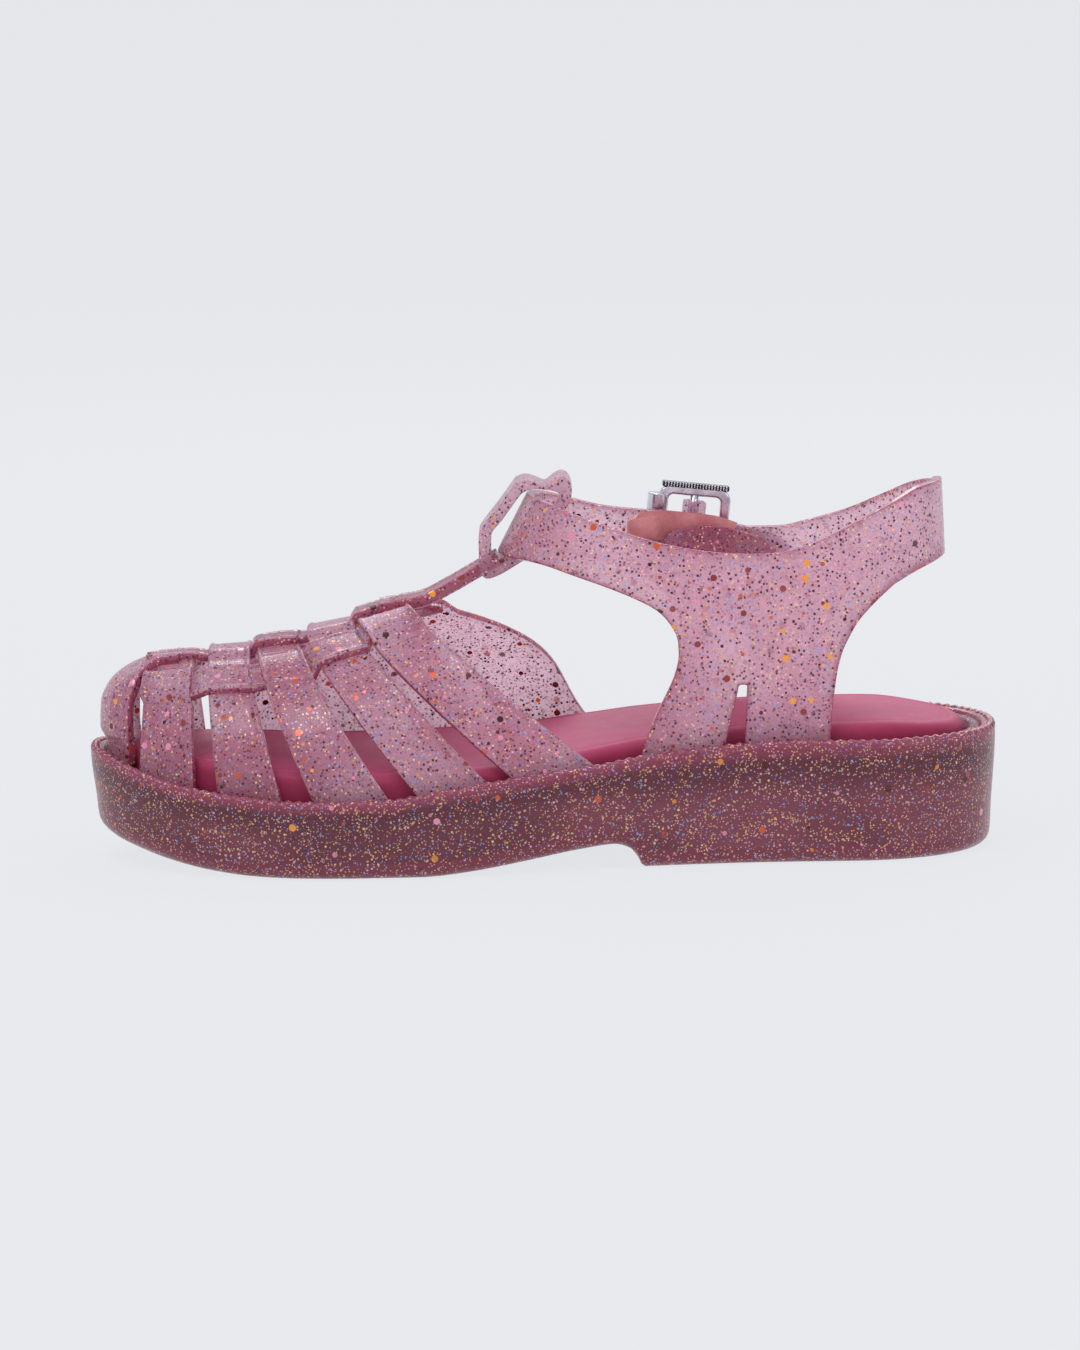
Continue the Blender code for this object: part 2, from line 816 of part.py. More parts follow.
def make_buckle():
    """Frame with its centre bar, prong, roller and the pad behind them, and what they add to the strap."""
    matrix = buckle_frame_matrix()
    middle = bar_level()
    lift = middle - 0.5 * buckle_thickness
    window = (buckle_length - 2 * buckle_bar, buckle_height - 2 * buckle_bar)
    frame = prism("buckle_frame", rounded(buckle_length, buckle_height, 1.4 * buckle_bar), lift, lift + buckle_thickness, matrix)
    hole = prism("hole", rounded(*window, 0.5 * buckle_bar), 0.0, 3 * lift, matrix)
    frame = combine(frame, [hole], "DIFFERENCE")
    bar_reach = 0.5 * window[1] + 0.4 * buckle_bar
    bar = prism("bar", circle(0.5 * centre_bar, 12, (0.0, middle)), -bar_reach, bar_reach, matrix, "Z")
    frame = combine(frame, [bar], "UNION")

    ring_in = 0.5 * centre_bar + clearance
    ring_out = ring_in + eye_wall
    prong_half = 0.5 * prong_width
    eye = prism("buckle_prong", circle(ring_out, 14, (0.0, middle)), -prong_half, prong_half, matrix, "Z")
    front = 0.5 * buckle_length + prong_overhang
    lowest = lift + buckle_thickness + clearance + roller_wall + clearance
    tongue = [
        (0.0, middle + 0.45 * ring_out), (-0.30 * front, lowest - prong_sag), (-0.72 * front, lowest),
        (-front, lowest - 0.5 * prong_sag), (-front - prong_nose, lowest + 0.35 * prong_thickness),
        (-front, lowest + 0.75 * prong_thickness), (-0.72 * front, lowest + prong_thickness),
        (-0.30 * front, lowest + prong_thickness), (0.0, middle + ring_out),
    ]
    arm = prism("arm", tongue, -0.9 * prong_half, 0.9 * prong_half, matrix, "Z")
    bore = prism("bore", circle(ring_in, 14, (0.0, middle)), -2 * prong_half, 2 * prong_half, matrix, "Z")
    prong = combine(combine(eye, [arm], "UNION"), [bore], "DIFFERENCE")

    return frame, prong, matrix


def make_strap_end():
    """The free end of the strap, lying on the quarter under the buckle and past it."""
    steps = 10
    start = x_of(buckle_place[0]) - 0.62 * buckle_length
    half = 0.5 * end_width
    rows = []
    for side in (1, 0.5, -0.5, -1):
        line = []
        for i in range(steps + 1):
            x = start + end_length * (math.sin(0.5 * math.pi * i / steps) ** 0.8)
            left = start + end_length - x
            reach = half if left > half else math.sqrt(max(0.08 * half * half, half * half - (half - left) ** 2))
            z = buckle_place[1] * strap_top - end_fall * (x - start)
            angle, quadrant = angle_at(x, 0.5)
            y = loop_point(angle, quadrant, 0.5)[1] + tab_thickness
            line.append(Vector((x, y, z + side * reach)))
        rows.append(line[::-1])
    return shell("strap_end", rows, lambda r, c: True, tab_thickness + 0.5 * strap_thickness)


def folds(matrix):
    """Two folds of the strap over the centre bar, one above and one below the prong."""
    middle = bar_level()
    inside = 0.5 * centre_bar + clearance
    outside = inside + fold_wall
    arc = [
        (outside * math.cos(math.radians(a)), middle + outside * math.sin(math.radians(a)))
        for a in range(0, 181, 20)
    ]
    arc += [(-outside, 0.5 * tab_thickness), (outside, 0.5 * tab_thickness)]
    made = []
    gap = 0.5 * prong_width + clearance
    for name, low, high in (("fold_up", gap, fold_reach), ("fold_down", -fold_reach, -gap)):
        fold = prism(name, arc, low, high, matrix, "Z")
        tunnel = prism("tunnel", circle(inside, 14, (0.0, middle)), low - gap, high + gap, matrix, "Z")
        made.append(combine(fold, [tunnel], "DIFFERENCE"))
    return made


def make_pad():
    """The soft pad between the buckle and the ankle, with its front end curled inwards."""
    rows = []
    steps = 9
    x0 = x_of(buckle_place[0]) - 0.615 * pad_length
    for i in range(steps):
        share = i / (steps - 1)
        x = x0 + pad_length * share
        angle, quadrant = angle_at(x, 0.6)
        y = loop_point(angle, quadrant, 0.6)[1] - strap_thickness - 3 * clearance - pad_drop
        y -= pad_curl * max(0.0, 1 - share / 0.22) ** 2
        top = strap_top * smooth_row(edge_rows, along_of(x), 3) - pad_drop
        trim = 0.22 * pad_height * (max(0.0, abs(2 * share - 1) - 0.7) / 0.3) ** 2
        rows.append([
            Vector((x, y, top - trim)),
            Vector((x, y - pad_bow, top - 0.5 * pad_height)),
            Vector((x, y, top - pad_height + trim)),
        ])
    made = shell("buckle_pad", rows, lambda r, c: True, pad_thickness)
    return made


def main():
    clear_scene()
    sole = make_sole()
    insole = make_insole()
    frame, prong, matrix = make_buckle()
    pad = make_pad()
    pieces = [make_vamp(), make_spine(), make_bar(), make_keeper(), make_ankle(), make_strap_end()]
    upper = combine(make_ring(), pieces + folds(matrix), "UNION")
    upper.name = "upper"

    jelly = material("jelly", (0.52, 0.22, 0.36), 0.25, transmission=0.4, coat=0.5)
    platform = material("platform", (0.14, 0.035, 0.055), 0.35, transmission=0.1, coat=0.4)
    footbed = material("footbed", (0.42, 0.10, 0.17), 0.6)
    suede = material("suede", (0.50, 0.17, 0.18), 0.85)
    chrome = material("chrome", (0.75, 0.75, 0.78), 0.12, metallic=1.0)
    for made, colour in (
        (sole, platform), (insole, footbed), (upper, jelly), (frame, chrome), (prong, chrome.copy()), (pad, suede),
    ):
        made.data.materials.clear()
        made.data.materials.append(colour)


main()
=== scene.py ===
import math

import bmesh
import bpy
import numpy as np
from mathutils import Matrix, Vector


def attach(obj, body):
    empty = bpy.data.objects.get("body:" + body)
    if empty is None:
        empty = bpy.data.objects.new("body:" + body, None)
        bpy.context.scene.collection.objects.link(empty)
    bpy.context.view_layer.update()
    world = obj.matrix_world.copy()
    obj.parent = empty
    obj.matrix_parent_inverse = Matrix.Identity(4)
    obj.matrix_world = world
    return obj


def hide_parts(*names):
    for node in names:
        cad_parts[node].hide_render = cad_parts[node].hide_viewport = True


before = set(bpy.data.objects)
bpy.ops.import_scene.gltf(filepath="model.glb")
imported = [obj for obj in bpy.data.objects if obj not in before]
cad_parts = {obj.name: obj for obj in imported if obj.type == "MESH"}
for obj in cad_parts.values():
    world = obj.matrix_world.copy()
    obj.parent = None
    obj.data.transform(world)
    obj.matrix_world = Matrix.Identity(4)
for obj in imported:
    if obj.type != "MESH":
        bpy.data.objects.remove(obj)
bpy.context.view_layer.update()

mm = 0.001

# Sizes of the CAD model
size = {
    "length": 190 * mm, "ball": 76 * mm, "rim": 25.4 * mm, "rimWidth": 3.0 * mm, "rimLip": 0.5 * mm,
    "taper": 1.3 * mm, "corner": 3.0 * mm, "well": 5.0 * mm, "clearance": 0.3 * mm,
    "wall": 2.0 * mm, "rise": 1.5 * mm, "crown": 53.0 * mm, "strip": 9.2 * mm, "ringGap": 0.6 * mm,
    "seat": 0.2 * mm, "spine": 23.0 * mm, "bar": 2.5 * mm, "strapTop": 77.3 * mm, "ankle": 48.0 * mm,
    "strap": 2.0 * mm, "keeper": 12.0 * mm,
}
archPower = 2.2
swellPower = 1.6
sideStrip = (57.0, 71.5)
loopMiddle = 0.721
loopPower = 2.4
slotRow = 6
outlineRows = (
    # along, inner, outer
    (0.00, 0.380, 0.330),
    (0.10, 0.430, 0.385),
    (0.20, 0.475, 0.435),
    (0.30, 0.500, 0.475),
    (0.38, 0.495, 0.500),
    (0.50, 0.440, 0.485),
    (0.62, 0.385, 0.430),
    (0.75, 0.360, 0.385),
    (0.88, 0.365, 0.370),
    (1.00, 0.360, 0.360),
)
toeCap = (0.26, 2.35)
heelCap = (0.17, 2.2)
profileRows = (
    # along, rim, insole
    (0.000, 0.937, 0.985),
    (0.044, 0.849, 0.965),
    (0.093, 0.748, 0.945),
    (0.142, 0.693, 0.915),
    (0.189, 0.659, 0.880),
    (0.236, 0.636, 0.848),
    (0.329, 0.642, 0.826),
    (0.374, 0.690, 0.832),
    (0.467, 0.783, 0.872),
    (0.552, 0.850, 0.960),
    (0.608, 0.917, 1.025),
    (0.694, 0.980, 1.085),
    (0.762, 1.008, 1.112),
    (0.867, 0.998, 1.118),
    (0.921, 1.005, 1.085),
    (1.000, 1.000, 1.030),
)
groundRows = (
    # along, ground
    (0.000, 0.270),
    (0.040, 0.198),
    (0.090, 0.104),
    (0.140, 0.040),
    (0.190, 0.008),
    (0.235, 0.000),
    (0.365, 0.000),
    (0.420, 0.032),
    (0.477, 0.092),
    (0.536, 0.165),
    (0.576, 0.195),
    (0.592, 0.160),
    (0.601, 0.080),
    (0.607, 0.000),
    (1.000, 0.000),
)
strapRows = (
    # foot, along, crown, swell, strip low, strip high
    (0.0572, 0.0652, 0.766, 0.000, 47.0, 63.5),
    (0.1194, 0.1175, 0.785, -0.010, 49.0, 65.5),
    (0.1475, 0.1336, 0.800, 0.030, 50.0, 66.0),
    (0.2197, 0.1796, 0.808, 0.070, 51.5, 66.5),
    (0.2566, 0.1871, 0.830, 0.070, 53.0, 67.5),
    (0.3414, 0.2343, 0.845, 0.075, 55.5, 70.0),
    (0.3723, 0.2431, 0.872, 0.075, 58.0, 72.0),
    (0.4502, 0.2952, 0.906, 0.085, 61.0, 74.0),
    (0.4788, 0.2965, 0.935, 0.095, 64.5, 76.0),
    (0.5694, 0.3541, 0.985, 0.150, 67.0, 77.5),
)
spineRows = (
    # along, height, half, bow
    (0.0180, 0.390, 0.50, 0.067),
    (0.0180, 0.462, 0.50, 0.067),
    (0.0105, 0.518, 0.50, 0.086),
    (0.0120, 0.615, 0.49, 0.084),
    (0.0230, 0.702, 0.45, 0.074),
    (0.0415, 0.756, 0.37, 0.042),
    (0.0640, 0.790, 0.27, 0.014),
    (0.0810, 0.806, 0.20, 0.000),
    (0.1000, 0.812, 0.20, 0.000),
)
barRows = (
    # along, climb
    (0.322, 0.000),
    (0.345, 0.070),
    (0.369, 0.158),
    (0.397, 0.415),
    (0.432, 0.785),
    (0.452, 1.000),
)
barEnds = (0.9947, 0.812)
edgeRows = (
    # along, inner top, bottom, outer top
    (0.440, 0.976, 0.815, 0.976),
    (0.478, 0.976, 0.812, 0.976),
    (0.500, 0.968, 0.803, 0.965),
    (0.535, 0.939, 0.776, 0.934),
    (0.570, 0.911, 0.747, 0.907),
    (0.604, 0.882, 0.713, 0.893),
    (0.651, 0.853, 0.640, 0.880),
    (0.698, 0.837, 0.712, 0.864),
    (0.735, 0.832, 0.714, 0.835),
    (0.767, 0.838, 0.716, 0.835),
    (0.798, 0.860, 0.718, 0.850),
    (0.840, 0.906, 0.660, 0.879),
    (0.885, 0.956, 0.736, 0.927),
    (0.925, 0.996, 0.778, 0.972),
    (0.950, 0.998, 0.792, 0.988),
)
loopAlong = (0.453, 0.487, 0.946, 0.943)
quarterRows = (
    # front height, front, slot front, slot back, back, back height, outer front, outer slot
    (0.7130, 0.6040, 0.7105, 0.7242, 0.8850, 0.7360, 0.000, 0.0000),
    (0.6850, 0.6250, 0.7116, 0.7242, 0.8626, 0.6900, 0.000, 0.0030),
    (0.6490, 0.6390, 0.7121, 0.7237, 0.8447, 0.6440, 0.002, 0.0060),
    (0.6060, 0.6474, 0.7126, 0.7237, 0.8347, 0.6050, 0.004, 0.0090),
    (0.5640, 0.6484, 0.7126, 0.7232, 0.8268, 0.5670, 0.009, 0.0115),
    (0.5130, 0.6437, 0.7126, 0.7232, 0.8205, 0.5130, 0.016, 0.0115),
    (0.4820, 0.6384, 0.7132, 0.7226, 0.8184, 0.4820, 0.021, 0.0115),
    (0.4200, 0.6258, 0.7074, 0.7216, 0.8147, 0.4200, 0.029, 0.0115),
    (0.3620, 0.6158, 0.7016, 0.7200, 0.8126, 0.3620, 0.029, 0.0115),
    (0.2880, 0.6050, 0.6963, 0.7189, 0.8115, 0.2920, 0.026, 0.0115),
)
keeperOuter = (
    (0.000, 0.020), (0.002, 0.070), (0.017, 0.096), (0.063, 0.154), (0.098, 0.202),
    (0.110, 0.211), (0.130, 0.216), (0.155, 0.209), (0.181, 0.199), (0.200, 0.212),
    (0.220, 0.224), (0.238, 0.221), (0.250, 0.205), (0.254, 0.182), (0.246, 0.149),
    (0.210, 0.095), (0.160, 0.027), (0.142, 0.006), (0.118, -0.006), (0.060, -0.040),
    (0.020, -0.052), (0.003, -0.030),
)
keeperInner = (
    (0.034, 0.043), (0.037, 0.073), (0.064, 0.105), (0.107, 0.163), (0.123, 0.180),
    (0.150, 0.188), (0.185, 0.186), (0.212, 0.180), (0.226, 0.165), (0.218, 0.148),
    (0.180, 0.096), (0.136, 0.036), (0.116, 0.020), (0.070, 0.006), (0.036, 0.004),
)
keeperCorner = (0.433, 0.800)
bucklePlace = (0.672, 0.811)


# Reading the tables

def smoothRow(rows, along, column):
    if along <= rows[0][0]:
        return rows[0][column]
    if along >= rows[-1][0]:
        return rows[-1][column]
    k = max(i for i in range(len(rows) - 1) if rows[i][0] <= along)

    def slope(i):
        if i <= 0 or i >= len(rows) - 1:
            return 0.0
        before = (rows[i][column] - rows[i - 1][column]) / (rows[i][0] - rows[i - 1][0])
        after = (rows[i + 1][column] - rows[i][column]) / (rows[i + 1][0] - rows[i][0])
        return 0.0 if before * after <= 0 else 2 * before * after / (before + after)

    span = rows[k + 1][0] - rows[k][0]
    t = (along - rows[k][0]) / span
    return (
        rows[k][column] * (2 * t**3 - 3 * t**2 + 1)
        + rows[k + 1][column] * (3 * t**2 - 2 * t**3)
        + slope(k) * span * (t**3 - 2 * t**2 + t)
        + slope(k + 1) * span * (t**3 - t**2)
    )


def between(rows, steps):
    # The rows of a table with steps more for each, on smooth curves through them
    numbered = [(i, *row) for i, row in enumerate(rows)]
    count = (len(rows) - 1) * steps
    return [
        tuple(smoothRow(numbered, i / steps, c + 1) for c in range(len(rows[0]))) for i in range(count + 1)
    ]


def rounder(shape, steps):
    # A closed outline with steps points for each of its own, on a curve through them
    count = len(shape)
    found = []
    for i in range(count):
        a, b, c, d = (Vector(shape[(i + k) % count]) for k in (-1, 0, 1, 2))
        for k in range(steps):
            t = k / steps
            straight = 2 * b + (c - a) * t
            found.append(0.5 * (straight + (2 * a - 5 * b + 4 * c - d) * t**2 + (3 * b - a - 3 * c + d) * t**3))
    return found


def ease(low, high, value):
    t = min(1.0, max(0.0, (value - low) / (high - low)))
    return t * t * (3 - 2 * t)


def xOf(along):
    return (along - 0.5) * size["length"]


def alongOf(x):
    return x / size["length"] + 0.5


def halfWidth(along, side):
    along = min(max(along, 0.0), 1.0)
    width = size["ball"] * smoothRow(outlineRows, along, 1 if side < 0 else 2)
    for share, power, distance in ((*toeCap, along), (*heelCap, 1.0 - along)):
        if distance < share:
            width *= (1 - (1 - distance / share) ** power) ** (1 / power)
    return width


def rimAt(along):
    return size["rim"] * smoothRow(profileRows, along, 1)


def groundAt(along):
    return size["rim"] * smoothRow(groundRows, along, 1)


def insoleAt(along):
    return size["rim"] * smoothRow(profileRows, along, 2)


def wellFloor(along):
    return rimAt(along) - size["well"] + size["clearance"]


# Outline of the sole, and loops inside it

def stations():
    breast = (0.570, 0.576, 0.580, 0.586, 0.592, 0.597, 0.601, 0.604, 0.607, 0.611)
    found = [0.5 - 0.5 * math.cos(math.pi * i / 96) for i in range(97)]
    found = [a for a in found if all(abs(a - b) > 0.0035 for b in breast)]
    return sorted(found + list(breast))


planLoop = [Vector((xOf(a), -halfWidth(a, -1))) for a in stations()]
planLoop += [Vector((xOf(a), halfWidth(a, 1))) for a in stations()][-2:0:-1]
loopCache = {}


def insetLoop(inset):
    key = round(inset, 7)
    if key not in loopCache:
        count = len(planLoop)
        moved = []
        for i, point in enumerate(planLoop):
            tangent = planLoop[(i + 1) % count] - planLoop[i - 1]
            moved.append(point + Vector((-tangent.y, tangent.x)).normalized() * inset)
        loopCache[key] = moved
    return loopCache[key]


def insetWidth(along, side, inset):
    loop = insetLoop(inset)
    x = xOf(along)
    found = 0.0
    for i, point in enumerate(loop):
        before = loop[i - 1]
        if (point.x - x) * (before.x - x) > 0 or point.x == before.x:
            continue
        share = (x - before.x) / (point.x - before.x)
        found = max(found, side * (before.y + (point.y - before.y) * share))
    return found


def ringPoints(inset, height):
    return [Vector((p.x, p.y, height(alongOf(p.x)))) for p in insetLoop(inset)]


# Meshes

def setMark(mesh, name, values):
    # A number at each point, which a material can read
    layer = mesh.attributes.new(name, "FLOAT", "POINT")
    layer.data.foreach_set("value", np.array(values, np.float32))


def meshOf(name, points, faces, marks=None):
    mesh = bpy.data.meshes.new(name)
    mesh.from_pydata([tuple(p) for p in points], [], faces)
    mesh.shade_smooth()
    for key, values in (marks or {}).items():
        setMark(mesh, key, values)
    made = bpy.data.objects.new(name, mesh)
    bpy.context.scene.collection.objects.link(made)
    return made


def outward(made):
    cage = bmesh.new()
    cage.from_mesh(made.data)
    bmesh.ops.recalc_face_normals(cage, faces=cage.faces)
    if cage.calc_volume(signed=True) < 0:
        bmesh.ops.reverse_faces(cage, faces=cage.faces)
    cage.to_mesh(made.data)
    cage.free()


def quads(first, second, count):
    # Faces between two closed loops of points, numbered from first and from second
    return [(first + i, first + (i + 1) % count, second + (i + 1) % count, second + i) for i in range(count)]


def applyAll(made):
    # The object keeps the mesh that its modifiers make
    mesh = bpy.data.meshes.new_from_object(made.evaluated_get(bpy.context.evaluated_depsgraph_get()))
    made.modifiers.clear()
    made.data = mesh
    return made


def bevel(made, width, segments=3, angle=50):
    step = made.modifiers.new("edges", "BEVEL")
    step.width = width
    step.segments = segments
    step.limit_method = "ANGLE"
    step.angle_limit = math.radians(angle)
    step.harden_normals = True


def stack(name, rings, marks):
    # A closed solid from loops round the foot, from the middle of its bottom to the middle of its top
    count = len(rings[0])
    half = count // 2
    points = [p for ring in rings for p in ring]
    levels = [mark for ring, mark in zip(rings, marks) for _ in ring]

    def ladder(start):
        faces = [(start, start + 1, start + count - 1)]
        for i in range(1, half - 1):
            faces.append((start + i, start + i + 1, start + count - i - 1, start + count - i))
        faces.append((start + half - 1, start + half, start + half + 1))
        return faces

    faces = [tuple(reversed(f)) for f in ladder(0)]
    for k in range(len(rings) - 1):
        faces += quads(k * count, (k + 1) * count, count)
    faces += ladder((len(rings) - 1) * count)
    return meshOf(name, points, faces, {"level": levels})


def shell(name, grid, thickness, lift=None, trim=None, present=None, cyclic=False):
    # A wall behind a grid of outer points. lift raises its outer side and trim its inner one, and present
    # says which cells are there. The edge mark is 1 along the wall's rims.
    rows, cols = len(grid), len(grid[0])
    across = cols if cyclic else cols - 1
    cells = [(r, c) for r in range(rows - 1) for c in range(across) if not present or present(r, c)]
    kept = set(cells)
    normals = {}
    for r, c in cells:
        d = (c + 1) % cols
        corners = ((r, c), (r + 1, c), (r + 1, d), (r, d))
        a, b, e, f = (grid[i][j] for i, j in corners)
        normal = (e - a).cross(f - b)
        for corner in corners:
            normals[corner] = normals.get(corner, Vector((0, 0, 0))) + normal
    index = {}
    points = []
    for corner, normal in normals.items():
        outer = grid[corner[0]][corner[1]]
        normal = normal.normalized()
        index[corner] = len(points)
        points.append(outer + normal * (lift(*corner) if lift else 0.0))
        points.append(outer - normal * (thickness - (trim(*corner) if trim else 0.0)))
    edge = [0.0] * len(points)
    faces = []
    for r, c in cells:
        d = (c + 1) % cols
        a, b, e, f = (index[k] for k in ((r, c), (r + 1, c), (r + 1, d), (r, d)))
        faces.append((a, b, e, f))
        faces.append((f + 1, e + 1, b + 1, a + 1))
        left = (r, (c - 1) % cols) if cyclic else (r, c - 1)
        right = (r, d) if cyclic else (r, c + 1)
        for neighbour, p, q in (((r - 1, c), f, a), (left, a, b), ((r + 1, c), b, e), (right, e, f)):
            if neighbour not in kept:
                faces.append((p + 1, q + 1, q, p))
                for k in (p, q, p + 1, q + 1):
                    edge[k] = 1.0
    return meshOf(name, points, faces, {"edge": edge})


def prism(name, outline, low, high, matrix, axis="Y"):
    # An outline in the two other axes, drawn out along this one
    def at(a, b, depth):
        return matrix @ Vector({"X": (depth, a, b), "Y": (a, depth, b), "Z": (a, b, depth)}[axis])

    count = len(outline)
    points = [at(a, b, depth) for depth in (low, high) for a, b in outline]
    faces = [tuple(range(count)), tuple(range(2 * count - 1, count - 1, -1))] + quads(0, count, count)
    made = meshOf(name, points, faces)
    outward(made)
    return made


def tube(name, path, radius, around=12, up=Vector((0, 0, 1)), closed=False):
    # A round bar along a path. radius is a number, or one for each point.
    count = len(path)
    points = []
    for i, point in enumerate(path):
        ahead = path[(i + 1) % count] if closed or i < count - 1 else point
        behind = path[i - 1] if closed or i > 0 else point
        run = (ahead - behind).normalized()
        side = run.cross(up).normalized()
        top = side.cross(run)
        reach = radius[i] if isinstance(radius, list) else radius
        for k in range(around):
            turn = math.tau * k / around
            points.append(point + (side * math.cos(turn) + top * math.sin(turn)) * reach)
    faces = []
    for i in range(count if closed else count - 1):
        faces += quads(i * around, (i + 1) % count * around, around)
    if not closed:
        faces += [tuple(range(around)), tuple(range(len(points) - 1, len(points) - around - 1, -1))]
    made = meshOf(name, points, faces)
    outward(made)
    return made


def combine(base, others, operation):
    for other in others:
        step = base.modifiers.new(other.name, "BOOLEAN")
        step.operation = operation
        step.solver = "EXACT"
        step.object = other
        applyAll(base)
        bpy.data.objects.remove(other)
    base.data.shade_smooth()
    return base


# Node trees

class Wire:
    # A socket with arithmetic, each step a Math node
    def __init__(self, look, socket):
        self.look = look
        self.socket = socket

    def step(self, operation, *others, turned=False):
        terms = [self, *others]
        if turned:
            terms.reverse()
        return self.look.node("Math", dict(enumerate(terms)), operation=operation).wire(0)

    def __add__(self, other):
        return self.step("ADD", other)

    __radd__ = __add__

    def __mul__(self, other):
        return self.step("MULTIPLY", other)

    __rmul__ = __mul__

    def __sub__(self, other):
        return self.step("SUBTRACT", other)

    def __rsub__(self, other):
        return self.step("SUBTRACT", other, turned=True)

    def below(self, other):
        return self.step("LESS_THAN", other)

    def above(self, other):
        return self.step("GREATER_THAN", other)

    def ramp(self, low, high):
        found = self.look.node("MapRange", {0: self, 1: low, 2: high}, interpolation_type="SMOOTHSTEP")
        return found.wire(0)


class Placed:
    # A node, whose outputs give wires
    def __init__(self, look, made):
        self.look = look
        self.made = made

    def wire(self, key):
        return Wire(self.look, self.made.outputs[key])


class Look:
    # A material, built node by node
    def __init__(self, name):
        self.material = bpy.data.materials.new(name)
        self.material.use_nodes = True
        self.tree = self.material.node_tree
        self.surface = self.tree.nodes["Principled BSDF"]

    def feed(self, socket, value):
        if isinstance(value, Wire):
            self.tree.links.new(value.socket, socket)
        else:
            socket.default_value = value

    def node(self, kind, inputs=None, **settings):
        made = self.tree.nodes.new("ShaderNode" + kind)
        for key, value in settings.items():
            setattr(made, key, value)
        for key, value in (inputs or {}).items():
            self.feed(made.inputs[key], value)
        return Placed(self, made)

    def mix(self, share, first, second):
        made = self.node("Mix", data_type="RGBA").made
        self.feed(made.inputs[0], share)
        self.feed(made.inputs[6], first)
        self.feed(made.inputs[7], second)
        return Wire(self, made.outputs[2])

    def place(self, shift=(0, 0, 0)):
        found = self.node("TexCoord").wire("Object")
        return self.node("VectorMath", {0: found, 1: shift}, operation="ADD").wire(0)

    def noise(self, grain, detail=2.0, shift=(0, 0, 0)):
        found = self.node("TexNoise", {"Vector": self.place(shift), "Scale": 1 / grain, "Detail": detail})
        return found.wire(0)

    def mark(self, name):
        return self.node("Attribute", attribute_name=name).wire("Fac")

    def along(self, axis):
        return self.node("SeparateXYZ", {0: self.node("TexCoord").wire("Object")}).wire(axis)

    def flakes(self, cell, radius, share, shift):
        # Where a layer of flakes shows, and three random numbers for each flake
        found = self.node("TexVoronoi", {"Vector": self.place(shift), "Scale": 1 / cell})
        chance = self.node("SeparateXYZ", {0: found.wire("Color")})
        inside = found.wire("Distance").below(radius / cell)
        return inside * chance.wire("X").below(share), chance.wire("Y"), chance.wire("Z")

    def pick(self, chance, colours):
        found = colours[0]
        for i, colour in enumerate(colours[1:], 1):
            found = self.mix(chance.above(i / len(colours)), found, colour)
        return found

    def finish(self, **inputs):
        for key, value in inputs.items():
            self.feed(self.surface.inputs[key.replace("_", " ")], value)
        return self.material

    def bump(self, height, distance, strength=1.0):
        found = self.node("Bump", {"Height": height, "Distance": distance, "Strength": strength})
        return found.wire(0)


def tint(red, green, blue):
    # A colour as it reads on a screen, 0 to 255
    return (*((v / 255 / 12.92 if v < 11 else ((v / 255 + 0.055) / 1.055) ** 2.4) for v in (red, green, blue)), 1.0)


flakeColours = {
    "dust": [tint(250, 214, 150), tint(250, 186, 200), tint(120, 50, 80), tint(126, 172, 230), tint(236, 172, 116)],
    "dark": [tint(88, 22, 50), tint(116, 32, 66), tint(76, 48, 92), tint(54, 16, 36), tint(128, 38, 48)],
    "large": [
        tint(248, 164, 58), tint(70, 22, 26), tint(206, 92, 52), tint(108, 32, 44), tint(240, 150, 175),
        tint(150, 56, 56),
    ],
}


